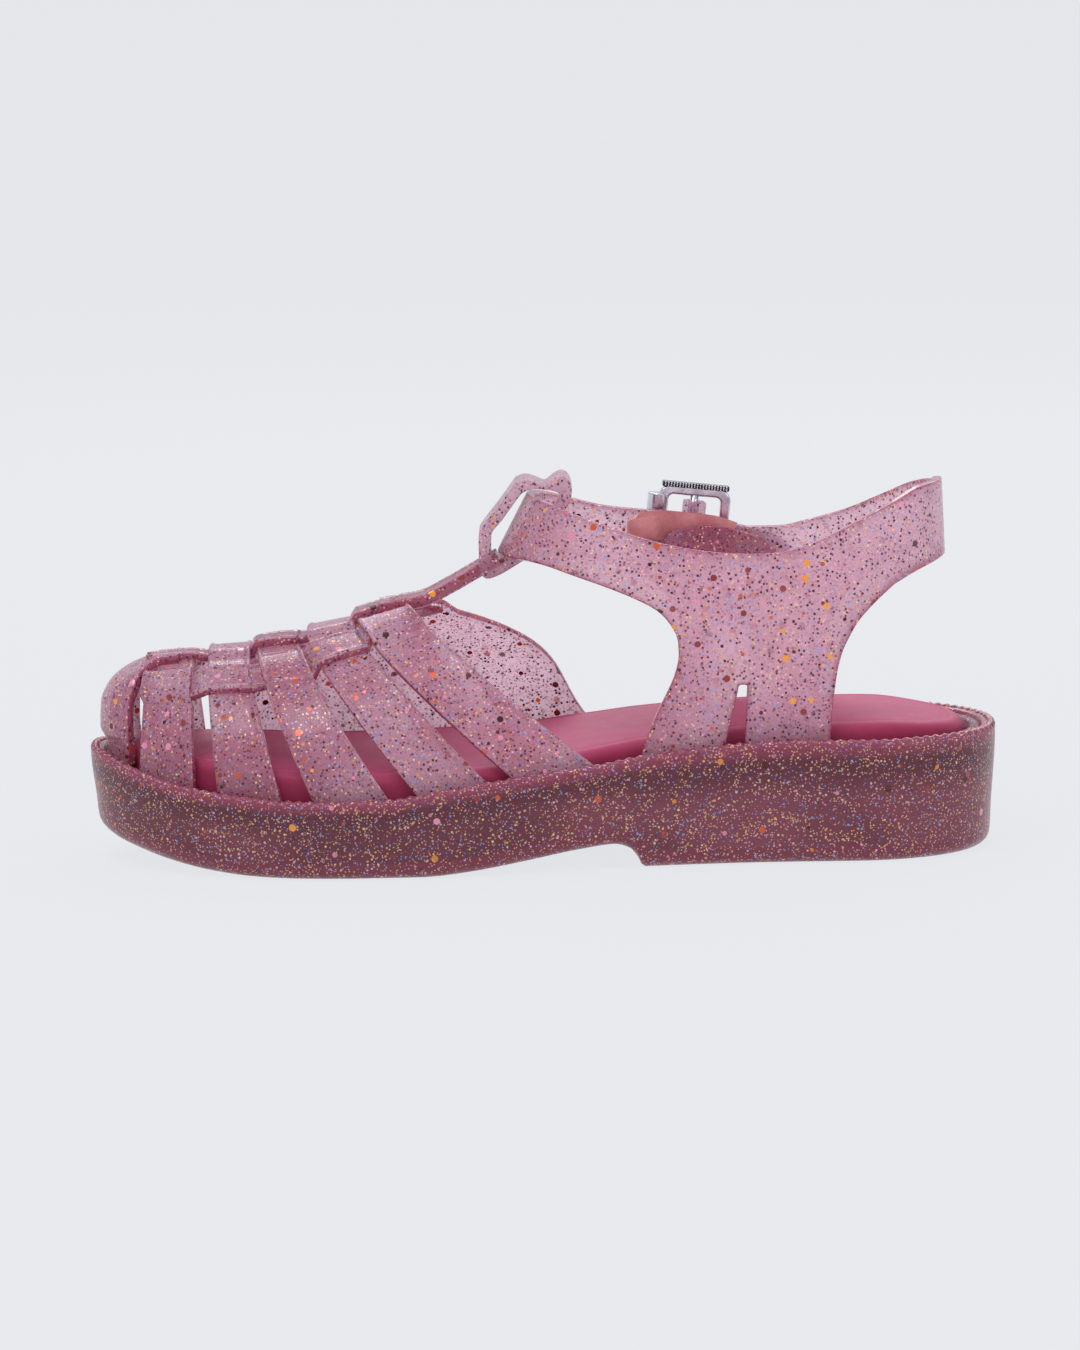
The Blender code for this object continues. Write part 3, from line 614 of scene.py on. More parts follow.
def glitter(name, settings):
    # Tinted plastic with layers of flakes in it. Where clear is given it can be seen through, but less at its
    # edges and low down, and towards the toes. It is deeper in colour at its edges, and low down it is painted
    # darker: painted shade where less light reaches, together with the deeper tint of the thicker plastic there.
    look = Look(name)
    cloud = look.noise(settings["cloud"], 2.0)
    colour = look.mix(cloud.ramp(0.38, 0.66), *settings["base"])
    if "bands" in settings:
        level = look.mark("level")
        for low, high, shade in settings["bands"]:
            colour = look.mix(level.ramp(low, high), colour, shade)
    if "edge" in settings:
        # low is painted shade: the colour darkens towards the bottom over the heights in lowShadeFrom, where less light
        # reaches, and joins the deeper colour of the edges
        low = look.along("Z").ramp(*settings["lowShadeFrom"]) * settings["low"]
        deep = look.mark("edge").step("MAXIMUM", low) * 0.9
        colour = look.mix(deep, colour, settings["edge"])
    solidity = None
    gloss = None
    for k, (cell, radius, share, kind, strength, metal) in enumerate(settings["layers"]):
        seen, which, bright = look.flakes(cell, radius, share, (0.013 * k, 0.007 * k, 0.021 * k))
        seen = seen * strength * (bright * 0.45 + 0.65)
        colour = look.mix(seen, colour, look.pick(which, flakeColours[kind]))
        solidity = seen if solidity is None else solidity.step("MAXIMUM", seen)
        gloss = seen * metal if gloss is None else gloss.step("MAXIMUM", seen * metal)
    cover = 1.0
    if "clear" in settings:
        clear = settings["clear"]
        front = look.along("X").ramp(*settings["frontFrom"]) * settings["front"] + clear
        cover = solidity.step("MAXIMUM", deep * (1 - clear) + clear).step("MAXIMUM", front)
    wave = look.bump(look.noise(5 * mm, 1.0, (0.3, 0.1, 0)) + cloud * 0.3, 0.25 * mm, 0.35)
    made = look.finish(
        Base_Color=colour,
        Metallic=gloss,
        Roughness=(look.noise(9 * mm, 2.0) * 0.12 + settings["rough"]),
        Alpha=cover,
        IOR=1.42,
        Coat_Weight=settings["coat"][0],
        Coat_Roughness=settings["coat"][1],
        Subsurface_Weight=settings["soft"],
        Subsurface_Radius=(1.0, 0.55, 0.7),
        Subsurface_Scale=settings["depth"],
        Normal=wave,
    )
    if "glow" in settings:
        # Light that passes through the plastic, but not through its flakes
        share, shade = settings["glow"]
        through = look.node("BsdfTranslucent", {"Color": shade})
        factor = (1.0 - solidity) * (1.0 - deep) * share
        plain = Wire(look, look.surface.outputs[0])
        both = look.node("MixShader", {0: factor, 1: plain, 2: through.wire(0)})
        look.feed(look.tree.nodes["Material Output"].inputs["Surface"], both.wire(0))
    return made


# Layers of flakes: spacing, radius, share of the places taken, colours, strength and metallic value
fineLayers = [
    (0.62 * mm, 0.20 * mm, 0.80, "dark", 0.55, 0.0),
    (0.72 * mm, 0.21 * mm, 0.85, "dust", 1.00, 0.08),
    (0.95 * mm, 0.27 * mm, 0.75, "dark", 1.15, 0.05),
    (2.1 * mm, 0.42 * mm, 0.35, "large", 1.1, 0.2),
    (3.9 * mm, 0.70 * mm, 0.60, "large", 1.3, 0.3),
]
soleLayers = [
    (0.62 * mm, 0.19 * mm, 0.90, "dark", 0.50, 0.1),
    (0.50 * mm, 0.16 * mm, 0.90, "dust", 0.62, 0.2),
    (0.95 * mm, 0.25 * mm, 0.50, "dust", 0.65, 0.2),
    (2.6 * mm, 0.50 * mm, 0.30, "large", 0.6, 0.2),
    (4.2 * mm, 0.80 * mm, 0.35, "large", 0.8, 0.3),
]
upperLook = glitter("woven_jelly", {
    "base": (tint(204, 140, 162), tint(226, 188, 208)), "edge": tint(154, 50, 86), "clear": 0.46,
    "cloud": 22 * mm, "layers": fineLayers, "rough": 0.15, "soft": 0.4, "depth": 3 * mm, "coat": (0.35, 0.1),
    # low and lowShadeFrom paint shade lower down on the straps; edge is the deeper colour of their edges and of that
    # painted shade
    "low": 0.22, "lowShadeFrom": (36 * mm, 22 * mm), "front": 0.17, "frontFrom": (-5 * mm, -45 * mm),
    "glow": (0.50, tint(252, 226, 240)),
})
# bands are colours up the side, from 0 at the ground to 1 at the rim: where each starts, and where it is full
soleLook = glitter("platform_jelly", {
    "base": (tint(96, 36, 50), tint(120, 56, 72)),
    "cloud": 30 * mm, "layers": soleLayers, "rough": 0.28, "soft": 0.15, "depth": 2.5 * mm, "coat": (0.22, 0.15),
    "bands": (
        (0.45, 0.80, tint(88, 29, 45)), (0.86, 0.96, tint(124, 48, 70)), (0.975, 0.99, tint(138, 58, 84)),
        (0.05, 0.0, tint(118, 44, 64)),
    ),
})


def footbedMaterial():
    look = Look("footbed_satin")
    level = look.mark("level")
    colour = look.mix(level.ramp(0.45, 0.75), tint(150, 42, 78), tint(176, 72, 110))
    colour = look.mix(look.noise(14 * mm, 3.0).ramp(0.3, 0.8) * 0.25, colour, tint(190, 90, 122))
    grain = look.node("TexVoronoi", {"Vector": look.place(), "Scale": 1 / (0.7 * mm)}).wire("Distance")
    return look.finish(
        Base_Color=colour, Roughness=look.noise(3 * mm) * 0.15 + 0.46, Specular_IOR_Level=0.2,
        Normal=look.bump(grain, 0.05 * mm, 0.5),
    )


def suedeMaterial():
    look = Look("suede")
    nap = look.noise(0.5 * mm, 4.0)
    brushed = look.noise(6 * mm, 3.0, (0.1, 0, 0))
    colour = look.mix(brushed.ramp(0.35, 0.65), tint(172, 100, 104), tint(206, 138, 138))
    colour = look.mix(nap.ramp(0.3, 0.7) * 0.5, colour, tint(196, 112, 118))
    return look.finish(
        Base_Color=colour, Roughness=0.92, Sheen_Weight=0.5, Sheen_Roughness=0.5, Normal=look.bump(nap, 0.15 * mm, 0.6)
    )


def chromeMaterial(name, first, second):
    look = Look(name)
    smear = look.noise(3 * mm, 3.0)
    colour = look.mix(smear.ramp(0.35, 0.75), first, second)
    return look.finish(
        Base_Color=colour, Metallic=1.0, Roughness=smear * 0.16 + 0.06,
        Normal=look.bump(look.noise(0.8 * mm, 2.0), 0.03 * mm, 0.4),
    )


footbedLook = footbedMaterial()
suedeLook = suedeMaterial()
chromeLook = chromeMaterial("bright_chrome", tint(222, 222, 230), tint(186, 180, 190))
darkChromeLook = chromeMaterial("dark_chrome", tint(70, 68, 78), tint(30, 30, 38))
print("materials made")


def dress(made, look, node=None):
    made.data.materials.clear()
    made.data.materials.append(look)
    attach(made, "root")
    if node:
        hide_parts(node)
    return made


# Sole: a rounded bottom, a tapering side and a flat rim round the well

def makeSole():
    settings = {"middle": 4 * mm, "cornerSteps": 5, "sideSteps": 12, "belly": 0.9}
    taper, corner, lip = size["taper"], size["corner"], size["rimLip"]
    rings, marks = [], []

    def add(inset, level, low, high):
        # low and high are distances from the ground and from the rim, and level blends between them
        rings.append(ringPoints(inset, lambda a: (groundAt(a) + low) * (1 - level) + (rimAt(a) - high) * level))
        marks.append(level)

    add(taper + corner + settings["middle"], 0.0, 0.0, 0.0)
    for i in range(settings["cornerSteps"] + 1):
        turn = math.radians(90 * i / settings["cornerSteps"])
        add(taper + corner * (1 - math.sin(turn)), 0.0, corner * (1 - math.cos(turn)), 0.0)
    for i in range(1, settings["sideSteps"]):
        level = i / settings["sideSteps"]
        add(taper * (1 - ease(0, 1, level)) * settings["belly"], level, corner, 2 * lip)
    # Over the rim and down into the well: inset from the outline, and drop from the rim
    for inset, drop in (
        (0.0, 1.6 * lip), (0.25 * lip, 0.5 * lip), (lip, 0.0), (size["rimWidth"] - lip, 0.0), (size["rimWidth"], lip),
        (size["rimWidth"], size["well"]),
    ):
        add(inset, 1.0, 0.0, drop)
    made = stack("platform", rings, marks)
    outward(made)
    return dress(combine(made, [makeTread()], "DIFFERENCE"), soleLook, "sole")


def makeTread():
    # Grooves across the two flats that touch the ground: pitch from groove to groove
    tread = {
        "pitch": 5.2 * mm, "groove": 1.6 * mm, "deep": 0.9 * mm, "edge": 6.0 * mm,
        "flats": ((0.20, 0.40), (0.645, 0.955)),
    }
    points, faces = [], []
    for first, last in tread["flats"]:
        count = int((xOf(last) - xOf(first)) / tread["pitch"])
        for i in range(count + 1):
            x = xOf(first) + i * tread["pitch"]
            left, right = (side * insetWidth(alongOf(x), side, tread["edge"]) for side in (-1, 1))
            base = len(points)
            for z in (-mm, groundAt(alongOf(x)) + tread["deep"]):
                for dx, y in ((-0.5, left), (0.5, left), (0.5, right), (-0.5, right)):
                    points.append((x + dx * tread["groove"], y, z))
            for f in ((0, 3, 2, 1), (4, 5, 6, 7), (0, 1, 5, 4), (1, 2, 6, 5), (2, 3, 7, 6), (3, 0, 4, 7)):
                faces.append(tuple(base + k for k in f))
    return meshOf("tread", points, faces)


def resample(points, spacing):
    # A closed loop of points at even spacing
    run = np.array([tuple(p) for p in points + points[:1]])
    reach = np.concatenate([[0], np.cumsum(np.linalg.norm(np.diff(run, axis=0), axis=1))])
    count = int(reach[-1] / spacing)
    at = np.linspace(0, reach[-1], count, endpoint=False)
    return [Vector(p) for p in np.stack([np.interp(at, reach, run[:, k]) for k in range(3)], axis=1)]


def makeWelt():
    # The beaded edge round the rim: pitch from bead to bead, steps for each bead
    welt = {"inset": 0.95 * mm, "drop": 0.45 * mm, "radius": 0.85 * mm, "swell": 0.20, "pitch": 2.3 * mm, "steps": 6}
    path = ringPoints(welt["inset"], lambda a: rimAt(a) - welt["drop"])
    path = resample(path, welt["pitch"] / welt["steps"])
    waves = [math.cos(math.tau * i / welt["steps"]) for i in range(len(path))]
    made = tube("rim_welt", path, [welt["radius"] * (1 + welt["swell"] * wave) for wave in waves], 10, closed=True)
    setMark(made.data, "level", np.ones(len(made.data.vertices)))
    return dress(made, soleLook)


def makeFootbed():
    # A pad with a round edge, a sewn groove inside it and a low crown, set back at the toe
    settings = {
        "gap": 1.2 * mm, "round": 2.6 * mm, "crown": 0.6 * mm, "groove": 0.35 * mm, "setback": 4.0 * mm, "toe": 0.12,
        "edgeSteps": 6, "crownSteps": 4,
    }
    side = size["rimWidth"] + size["clearance"] + size["wall"] + settings["gap"]
    edge = settings["round"]
    rings = [ringPoints(side, wellFloor)]
    marks = [0.0]

    def add(inset, drop, level):
        rings.append(ringPoints(side + inset * edge, lambda a: insoleAt(a) - drop))
        marks.append(level)

    add(0, 2.2 * edge, 0.25)
    for i in range(settings["edgeSteps"] + 1):
        share = i / settings["edgeSteps"]
        turn = math.radians(90 * share)
        add(1 - math.cos(turn), edge * (1 - math.sin(turn)), 0.4 + 0.35 * share)
    add(1.3, settings["groove"], 0.6)
    add(1.6, 0.0, 0.9)
    for i in range(1, settings["crownSteps"] + 1):
        add(1.6 + 0.8 * i, -settings["crown"] * (1 - (1 - i / settings["crownSteps"]) ** 2), 1.0)
    for ring in rings:
        for point in ring:
            point.x += settings["setback"] * max(0.0, 1 - alongOf(point.x) / settings["toe"]) ** 2
    made = dress(stack("footbed_pad", rings, marks), footbedLook, "insole")
    return made


makeSole()
makeWelt()
makeFootbed()
print("sole and footbed made")


# Upper: cross straps and the strips woven through them

low, high = sideStrip
middle = math.degrees(math.acos((size["strip"] / size["ball"] * 1.1) ** (archPower / 2)))
stripAngles = {"inner": (low, high), "middle": (middle, 180 - middle), "outer": (180 - high, 180 - low)}
# toeWidth is the first strap's share of the length and spread the others' share of the way from line to line.
# soft is in degrees round the foot, and steps are distances from a strap's edge.
weave = {
    "wall": 1.7 * mm, "corner": 0.55 * mm, "round": 0.42 * mm, "border": 0.26 * mm, "borderEnd": 1.5 * mm, "soft": 5.0,
    "steps": [0.0, 0.14 * mm, 0.35 * mm, 0.6 * mm, 0.95 * mm, 1.3 * mm, 1.7 * mm], "sideWidth": 9.0 * mm,
    "over": 0.3 * mm, "along": 8, "angles": 121, "toeWidth": 0.055, "spread": 0.75,
}
footWidths = {}


def footWidth(along, side, digits):
    # Half the width that the upper stands on, worked out once for places that are the same to so many digits
    key = round(along, digits), side, digits
    if key not in footWidths:
        footWidths[key] = insetWidth(along, side, size["rimWidth"] + size["clearance"] + size["seat"])
    return footWidths[key]


def turned(angle, stripLow, stripHigh):
    # The angle round the foot for a column of the grid, which follows the side strips
    if angle > 90:
        return 180 - turned(180 - angle, stripLow, stripHigh)
    return float(np.interp(angle, (0, low, high, middle, 90), (0, stripLow, stripHigh, middle, 90)))


def crown(line, angle):
    # A point on the vamp: the angle runs round the foot from 0 at the inner rim to 180 at the outer one. The straps
    # start below the rim, inside the well.
    foot, along, crownShare, swell, stripLow, stripHigh = line
    side = -1 if angle < 90 else 1
    angle = turned(angle, stripLow, stripHigh)
    flat = abs(math.cos(math.radians(angle))) ** (2 / archPower)
    height = math.sin(math.radians(angle)) ** (2 / archPower)
    start = rimAt(foot) - 2 * size["ringGap"] - 0.3 * size["well"]
    z = start + (crownShare * size["crown"] - start) * height
    x = xOf(foot + (along - foot) * height)
    if side > 0:
        x += swell * size["ball"] * abs(math.sin(math.pi * min(1.0, height) ** swellPower))
    return Vector((x, side * footWidth(foot, side, 6) * flat, z))


def borderLift(share, width):
    # Rise of a strap's face at that share of its width: a rounded corner, then a low border
    distance = min(share, 1 - share) * width
    if distance < weave["corner"]:
        return weave["border"] - weave["round"] * (1 - distance / weave["corner"]) ** 2
    return weave["border"] * (1 - ease(weave["corner"], weave["borderEnd"], distance))


def borderTrim(share, width):
    return -min(0.0, borderLift(share, width) - weave["border"])


def edgeSteps(width):
    steps = weave["steps"]
    inner = [steps[-1] + (width - 2 * steps[-1]) * i / 6 for i in range(1, 6)]
    return [s / width for s in steps + inner + [width - s for s in reversed(steps)]]


def makeStrap(k):
    # A cross strap, raised where it passes over a strip
    front, back = strapRows[2 * k], strapRows[2 * k + 1]
    width = (weave["toeWidth"] if k == 0 else (back[0] - front[0]) * weave["spread"]) * size["length"]
    shares = edgeSteps(width)
    angles = np.linspace(0, 180, weave["angles"])
    lines = [[p + (q - p) * t for p, q in zip(front, back)] for t in shares]
    grid = [[crown(line, a) for a in angles] for line in lines]
    zones = [stripAngles["middle"]] if k % 2 else [stripAngles["inner"], stripAngles["outer"]]

    def hump(angle):
        soft = weave["soft"]
        return max(ease(a - soft, a - 0.3, angle) * (1 - ease(b + 0.3, b + soft, angle)) for a, b in zones)

    def lift(r, c):
        return size["rise"] * hump(angles[c]) + borderLift(shares[r], width)

    def trim(r, c):
        return size["rise"] * hump(angles[c]) + borderTrim(shares[r], width)

    made = shell("strap_" + str(k + 1), grid, weave["wall"], lift, trim)
    return dress(made, upperLook)


def makeStrip(name):
    # A strip along the foot, raised where it passes over a strap
    central = name == "middle"
    first, last = stripAngles[name]
    width = size["strip"] if central else weave["sideWidth"]
    shares = edgeSteps(width)
    angles = [first + (last - first) * t for t in shares]
    lines, rises = [], []
    steps = weave["along"]
    for n in range((len(strapRows) - 1) * steps + 1):
        i = min(n // steps, len(strapRows) - 2)
        t = n / steps - i
        lines.append([p + (q - p) * t for p, q in zip(strapRows[i], strapRows[i + 1])])
        # One arc from the middle of a strap to the middle of the next, where the strip is under if it was over
        reach = min(max(0.0, (n / steps - 0.5) / 2), 4.0)
        over = (int(reach) % 2 == 0) == central
        rises.append(over + (1 - 2 * over) * ease(0, 1, reach % 1))
    grid = [[crown(line, a) for a in angles] for line in lines]

    def lift(r, c):
        return (size["rise"] + weave["over"]) * rises[r] + borderLift(shares[c], width)

    def trim(r, c):
        return size["rise"] * rises[r] + borderTrim(shares[c], width)

    return dress(shell("strip_" + name, grid, weave["wall"], lift, trim), upperLook)


for k in range(5):
    makeStrap(k)
for name in stripAngles:
    makeStrip(name)
print("vamp made")


def makeRing():
    # The band under the straps, between the rim and the footbed
    ring = {"bevel": 0.3 * mm}
    outside = size["rimWidth"] + size["clearance"]
    inside = outside + size["wall"]

    def top(along):
        return rimAt(along) - size["ringGap"]

    corners = ((inside, wellFloor), (outside, wellFloor), (outside, top), (inside, top))
    rings = [ringPoints(inset, height) for inset, height in corners]
    count = len(rings[0])
    faces = []
    for k in range(4):
        faces += quads(k * count, (k + 1) % 4 * count, count)
    made = meshOf("upper_band", [p for loop in rings for p in loop], faces)
    outward(made)
    bevel(made, ring["bevel"], 2)
    return dress(made, upperLook)


def deepen(made, least):
    # Thick plastic is deeper in colour, as at its edges. least is a number, or gives one for a place; the ankle strap's
    # one paints a deeper colour as shade where the loop turns across the view.
    layer = made.data.attributes.get("edge") or made.data.attributes.new("edge", "FLOAT", "POINT")
    for point, vertex in zip(layer.data, made.data.vertices):
        point.value = max(point.value, least(vertex.co) if callable(least) else least)
    return made


def sweptStrip(name, rows, thickness, width, depth):
    # Rows hold x, z, half width, bow and drop, and the strip's outer side lies on them
    shares = edgeSteps(width)
    grid = []
    for x, z, half, bow, drop in rows:
        grid.append([Vector((x + bow * v * v, half * v, z - drop * v * v)) for v in (2 * s - 1 for s in shares)])

    def lift(r, c):
        return borderLift(shares[c], 2 * rows[r][2])

    def trim(r, c):
        return borderTrim(shares[c], 2 * rows[r][2])

    return dress(deepen(shell(name, grid, thickness, lift, trim), depth), upperLook)


def makeSpine():
    # From the sole's toe up over the first strap: its sides drop where height passes from one to the other share
    spine = {"steps": 6, "drop": 0.3 * mm, "dropFrom": (0.70, 0.80), "wall": 1.1, "width": 14 * mm, "deep": 0.22}
    rows = []
    for along, height, half, bow in between(spineRows, spine["steps"]):
        drop = spine["drop"] * ease(*spine["dropFrom"], height)
        rows.append((xOf(along), height * size["crown"], half * size["spine"], bow * size["ball"], drop))
    return sweptStrip("toe_spine", rows, spine["wall"] * size["wall"], spine["width"], spine["deep"])


def makeBar():
    # From the crown up to the ankle strap
    bar = {"steps": 8, "deep": 0.40}
    low, high = barEnds[0] * size["crown"], barEnds[1] * size["strapTop"]
    rows = []
    for along, climb in between(barRows, bar["steps"]):
        rows.append((xOf(along), low + climb * (high - low), 0.5 * size["strip"], 0.0, 0.0))
    return sweptStrip("t_bar", rows, size["bar"], size["strip"], bar["deep"])


def makeKeeper():
    # The loop at the top of the bar, which the ankle strap passes through
    keeper = {"steps": 3, "deep": 0.42, "bevel": 0.6 * mm}
    cornerX, cornerZ = xOf(keeperCorner[0]), keeperCorner[1] * size["strapTop"]
    top = size["strapTop"]

    def placed(shape):
        return [(cornerX + p.x * top, cornerZ + p.y * top) for p in rounder(shape, keeper["steps"])]

    half = 0.5 * size["keeper"]
    outer = prism("keeper_loop", placed(keeperOuter), -half, half, Matrix())
    inner = prism("keeper_hole", placed(keeperInner), -2 * half, 2 * half, Matrix())
    made = combine(outer, [inner], "DIFFERENCE")
    deepen(made, keeper["deep"])
    bevel(made, keeper["bevel"], 3, 55)
    return dress(made, upperLook)


makeRing()
makeSpine()
makeBar()
makeKeeper()
print("band, toe spine and keeper made")


# Ankle strap and the two quarters that carry it

def loopEnd(quadrant, level):
    # Where the loop ends, between the strap's lower edge at level 0 and its upper one at level 1
    frontLow, frontHigh, heelLow, heelHigh = loopAlong
    low, high = (frontLow, frontHigh) if quadrant == "front" else (heelLow, heelHigh)
    return xOf(low + (high - low) * level)


def loopPoint(angle, quadrant, level):
    # A point on the loop round the ankle, which is a little wider at the strap's lower edge
    mid = xOf(loopMiddle)
    x = mid + (loopEnd(quadrant, level) - mid) * abs(math.cos(angle)) ** (2 / loopPower)
    half = 0.5 * size["ankle"] * (1.02 - 0.04 * level)
    return x, half * abs(math.sin(angle)) ** (2 / loopPower)


def angleAt(x, level):
    mid = xOf(loopMiddle)
    quadrant = "front" if x < mid else "heel"
    share = min(1.0, (x - mid) / (loopEnd(quadrant, level) - mid))
    return math.acos(share ** (loopPower / 2)), quadrant


def loopSide(x, level):
    return loopPoint(*angleAt(x, level), level)[1]


def legX(row, leg, side):
    # Columns 0 to 3 lie in front of a quarter's slot and 4 to 8 behind it
    _, front, slotFront, slotBack, back, _, outerFront, outerSlot = row
    if side > 0:
        front += outerFront
        slotFront += outerSlot
        slotBack += outerSlot
    if leg <= 3:
        return xOf(front + (slotFront - front) * leg / 3)
    return xOf(slotBack + (back - slotBack) * (leg - 4) / 4)


def legPoint(row, leg, side):
    # A point on a quarter, which leans out from the ankle loop to the width of the sole
    x = legX(row, leg, side)
    frontX, backX = legX(row, 0, side), xOf(row[4])
    z = size["strapTop"] * (row[0] + (row[5] - row[0]) * (x - frontX) / (backX - frontX))
    upper = loopSide(x, 0)
    down = (quarterRows[0][0] - row[0]) / (quarterRows[0][0] - quarterRows[-1][0])
    blend = ease(0, 1, 1.15 * down)
    return Vector((x, side * (upper + (footWidth(alongOf(x), side, 4) - upper) * blend), z))


def strapPoint(column, level, side):
    # A point on the ankle strap, from its lower edge at level 0 to its upper one at level 1
    angle, quadrant, leg = column
    lower = loopPoint(angle, quadrant, 0)
    upper = loopPoint(angle, quadrant, 1)
    if leg is not None:
        bottom = legPoint(quarterRows[0], leg, side)
    else:
        bottom = Vector((lower[0], side * lower[1], size["strapTop"] * smoothRow(edgeRows, alongOf(lower[0]), 2)))
    z = size["strapTop"] * smoothRow(edgeRows, alongOf(upper[0]), 1 if side < 0 else 3)
    return bottom.lerp(Vector((upper[0], side * upper[1], z)), level)


def makeAnkle():
    # One wall of columns round the ankle; those of the quarters run on down to the sole
    settings = {
        "front": 26, "leg": 0.25, "heel": 20, "levels": 12, "down": 3, "deep": 0.4, "deepShadeFrom": (4 * mm, 14 * mm),
        "bevel": 0.45 * mm,
    }
    first, _ = angleAt(xOf(quarterRows[0][1]), 0)
    last, _ = angleAt(xOf(quarterRows[0][4]), 0)
    columns = [(first * i / settings["front"], "front", None) for i in range(settings["front"])]
    legs = list(np.arange(0, 3.01, settings["leg"])) + list(np.arange(4, 8.01, settings["leg"]))
    columns += [(*angleAt(legX(quarterRows[0], leg, -1), 0), leg) for leg in legs]
    columns += [(last * i / settings["heel"], "heel", None) for i in range(settings["heel"] - 1, -1, -1)]
    around = [(c, -1) for c in columns] + [(c, 1) for c in columns[-2:0:-1]]
    levels = settings["levels"]
    grid = [[strapPoint(c, 1 - i / levels, side) for c, side in around] for i in range(levels)]
    rows = between(quarterRows, settings["down"])
    for r, row in enumerate(rows):
        line = []
        for c, side in around:
            if r == 0:
                line.append(strapPoint(c, 0.0, side))
            else:
                line.append(legPoint(row, c[2], side) if c[2] is not None else Vector((0, 0, 0)))
        grid.append(line)
    found = [c[2] for c, side in around]

    def present(r, c):
        if r < levels:
            return True
        a, b = found[c], found[(c + 1) % len(found)]
        if a is None or b is None:
            return False
        return not (r - levels >= slotRow * settings["down"] and {a, b} == {3.0, 4.0})

    made = shell("ankle_strap", grid, size["strap"], present=present, cyclic=True)
    # Painted shade: a deeper colour towards the front and heel of the loop, fading out between the widths in
    # deepShadeFrom. It stands in for the longer path of light through the plastic where the loop turns across the view
    deepen(made, lambda place: settings["deep"] * (1 - ease(*settings["deepShadeFrom"], abs(place.y))))
    bevel(made, settings["bevel"], 3)
    return dress(made, upperLook, "upper")


makeAnkle()
print("ankle strap made")


# Buckle, strap end and pad

buckle = {
    "length": 15.6 * mm, "height": 20.0 * mm, "bar": 2.2 * mm, "thickness": 2.0 * mm, "centre": 1.8 * mm,
    "prong": 2.2 * mm, "prongThickness": 1.5 * mm, "eye": 0.8 * mm, "fold": 1.2 * mm, "endWidth": 9.8 * mm,
    "endLength": 31.0 * mm, "endAhead": 0.62, "tab": 1.8 * mm, "roller": 0.8 * mm, "rollerAhead": 1.1 * mm,
    "foldReach": 6.8 * mm, "fall": 0.18, "tilt": math.radians(6.5), "turn": math.radians(2.7),
}
# ahead is the share of the pad in front of the buckle's middle. Its front end is rolled in with a radius and tucked
# back, drop rounds its upper front corner over corner, and dip lowers it over dipLength.
pad = {
    "length": 23.0 * mm, "height": 5.6 * mm, "thickness": 1.9 * mm, "ahead": 0.615, "bevel": 0.6 * mm,
    "radius": 2.9 * mm, "tuck": 4.4 * mm, "gap": 1.2 * mm, "drop": 2.0 * mm, "corner": 5.5 * mm, "below": 0.1 * mm,
    "dip": 0.7 * mm, "dipLength": 9 * mm, "bulge": 0.4 * mm,
}


def buckleMatrix():
    x = xOf(bucklePlace[0])
    place = Matrix.Translation((x, loopSide(x, 0), bucklePlace[1] * size["strapTop"]))
    return place @ Matrix.Rotation(buckle["tilt"], 4, "Y") @ Matrix.Rotation(buckle["turn"], 4, "Z")


def rounded(width, height, radius, steps=8):
    # The outline of a plate with round corners
    corners = []
    for cx, cy, start in ((1, 1, 0), (-1, 1, 90), (-1, -1, 180), (1, -1, 270)):
        x, y = cx * (width / 2 - radius), cy * (height / 2 - radius)
        for i in range(steps + 1):
            turn = math.radians(start + 90 * i / steps)
            corners.append((x + radius * math.cos(turn), y + radius * math.sin(turn)))
    return corners


def circle(radius, count, height):
    turns = [math.tau * i / count for i in range(count)]
    return [(radius * math.cos(turn), height + radius * math.sin(turn)) for turn in turns]


def makeBuckle():
    # level is how far the centre bar's middle stands off the strap, and lift how far the frame's back does
    matrix = buckleMatrix()
    level = buckle["tab"] + 2 * size["clearance"] + buckle["eye"] + 0.5 * buckle["centre"]
    lift = level - 0.5 * buckle["thickness"]
    window = (buckle["length"] - 2 * buckle["bar"], buckle["height"] - 2 * buckle["bar"])
    plate = rounded(buckle["length"], buckle["height"], 1.4 * buckle["bar"])
    made = prism("buckle_body", plate, lift, lift + buckle["thickness"], matrix)
    hole = prism("hole", rounded(*window, 0.5 * buckle["bar"], 5), 0.0, 3 * lift, matrix)
    made = combine(made, [hole], "DIFFERENCE")
    bevel(made, 0.5 * mm, 4, 40)
    dress(made, chromeLook, "buckle_frame")
    reach = 0.5 * window[1] + 0.4 * buckle["bar"]
    bar = [matrix @ Vector((0, level, z)) for z in np.linspace(-reach, reach, 5)]
    dress(tube("centre_bar", bar, 0.5 * buckle["centre"], 24, Vector((0, 1, 0))), chromeLook)
    makeProng(matrix, lift, level)

    frontBar = -0.5 * buckle["length"] + 0.5 * buckle["bar"] - buckle["rollerAhead"]
    ends = np.linspace(-0.42 * window[1], 0.5 * window[1], 9)
    path = [matrix @ Vector((frontBar, lift + 0.5 * buckle["thickness"], z)) for z in ends]
    roller = tube("roller", path, 0.5 * buckle["bar"] + size["clearance"] + buckle["roller"], 32, Vector((0, 1, 0)))
    bevel(roller, 0.25 * mm, 3, 50)
    dress(roller, chromeLook)

    makeRibs(matrix, lift)
    return matrix, level


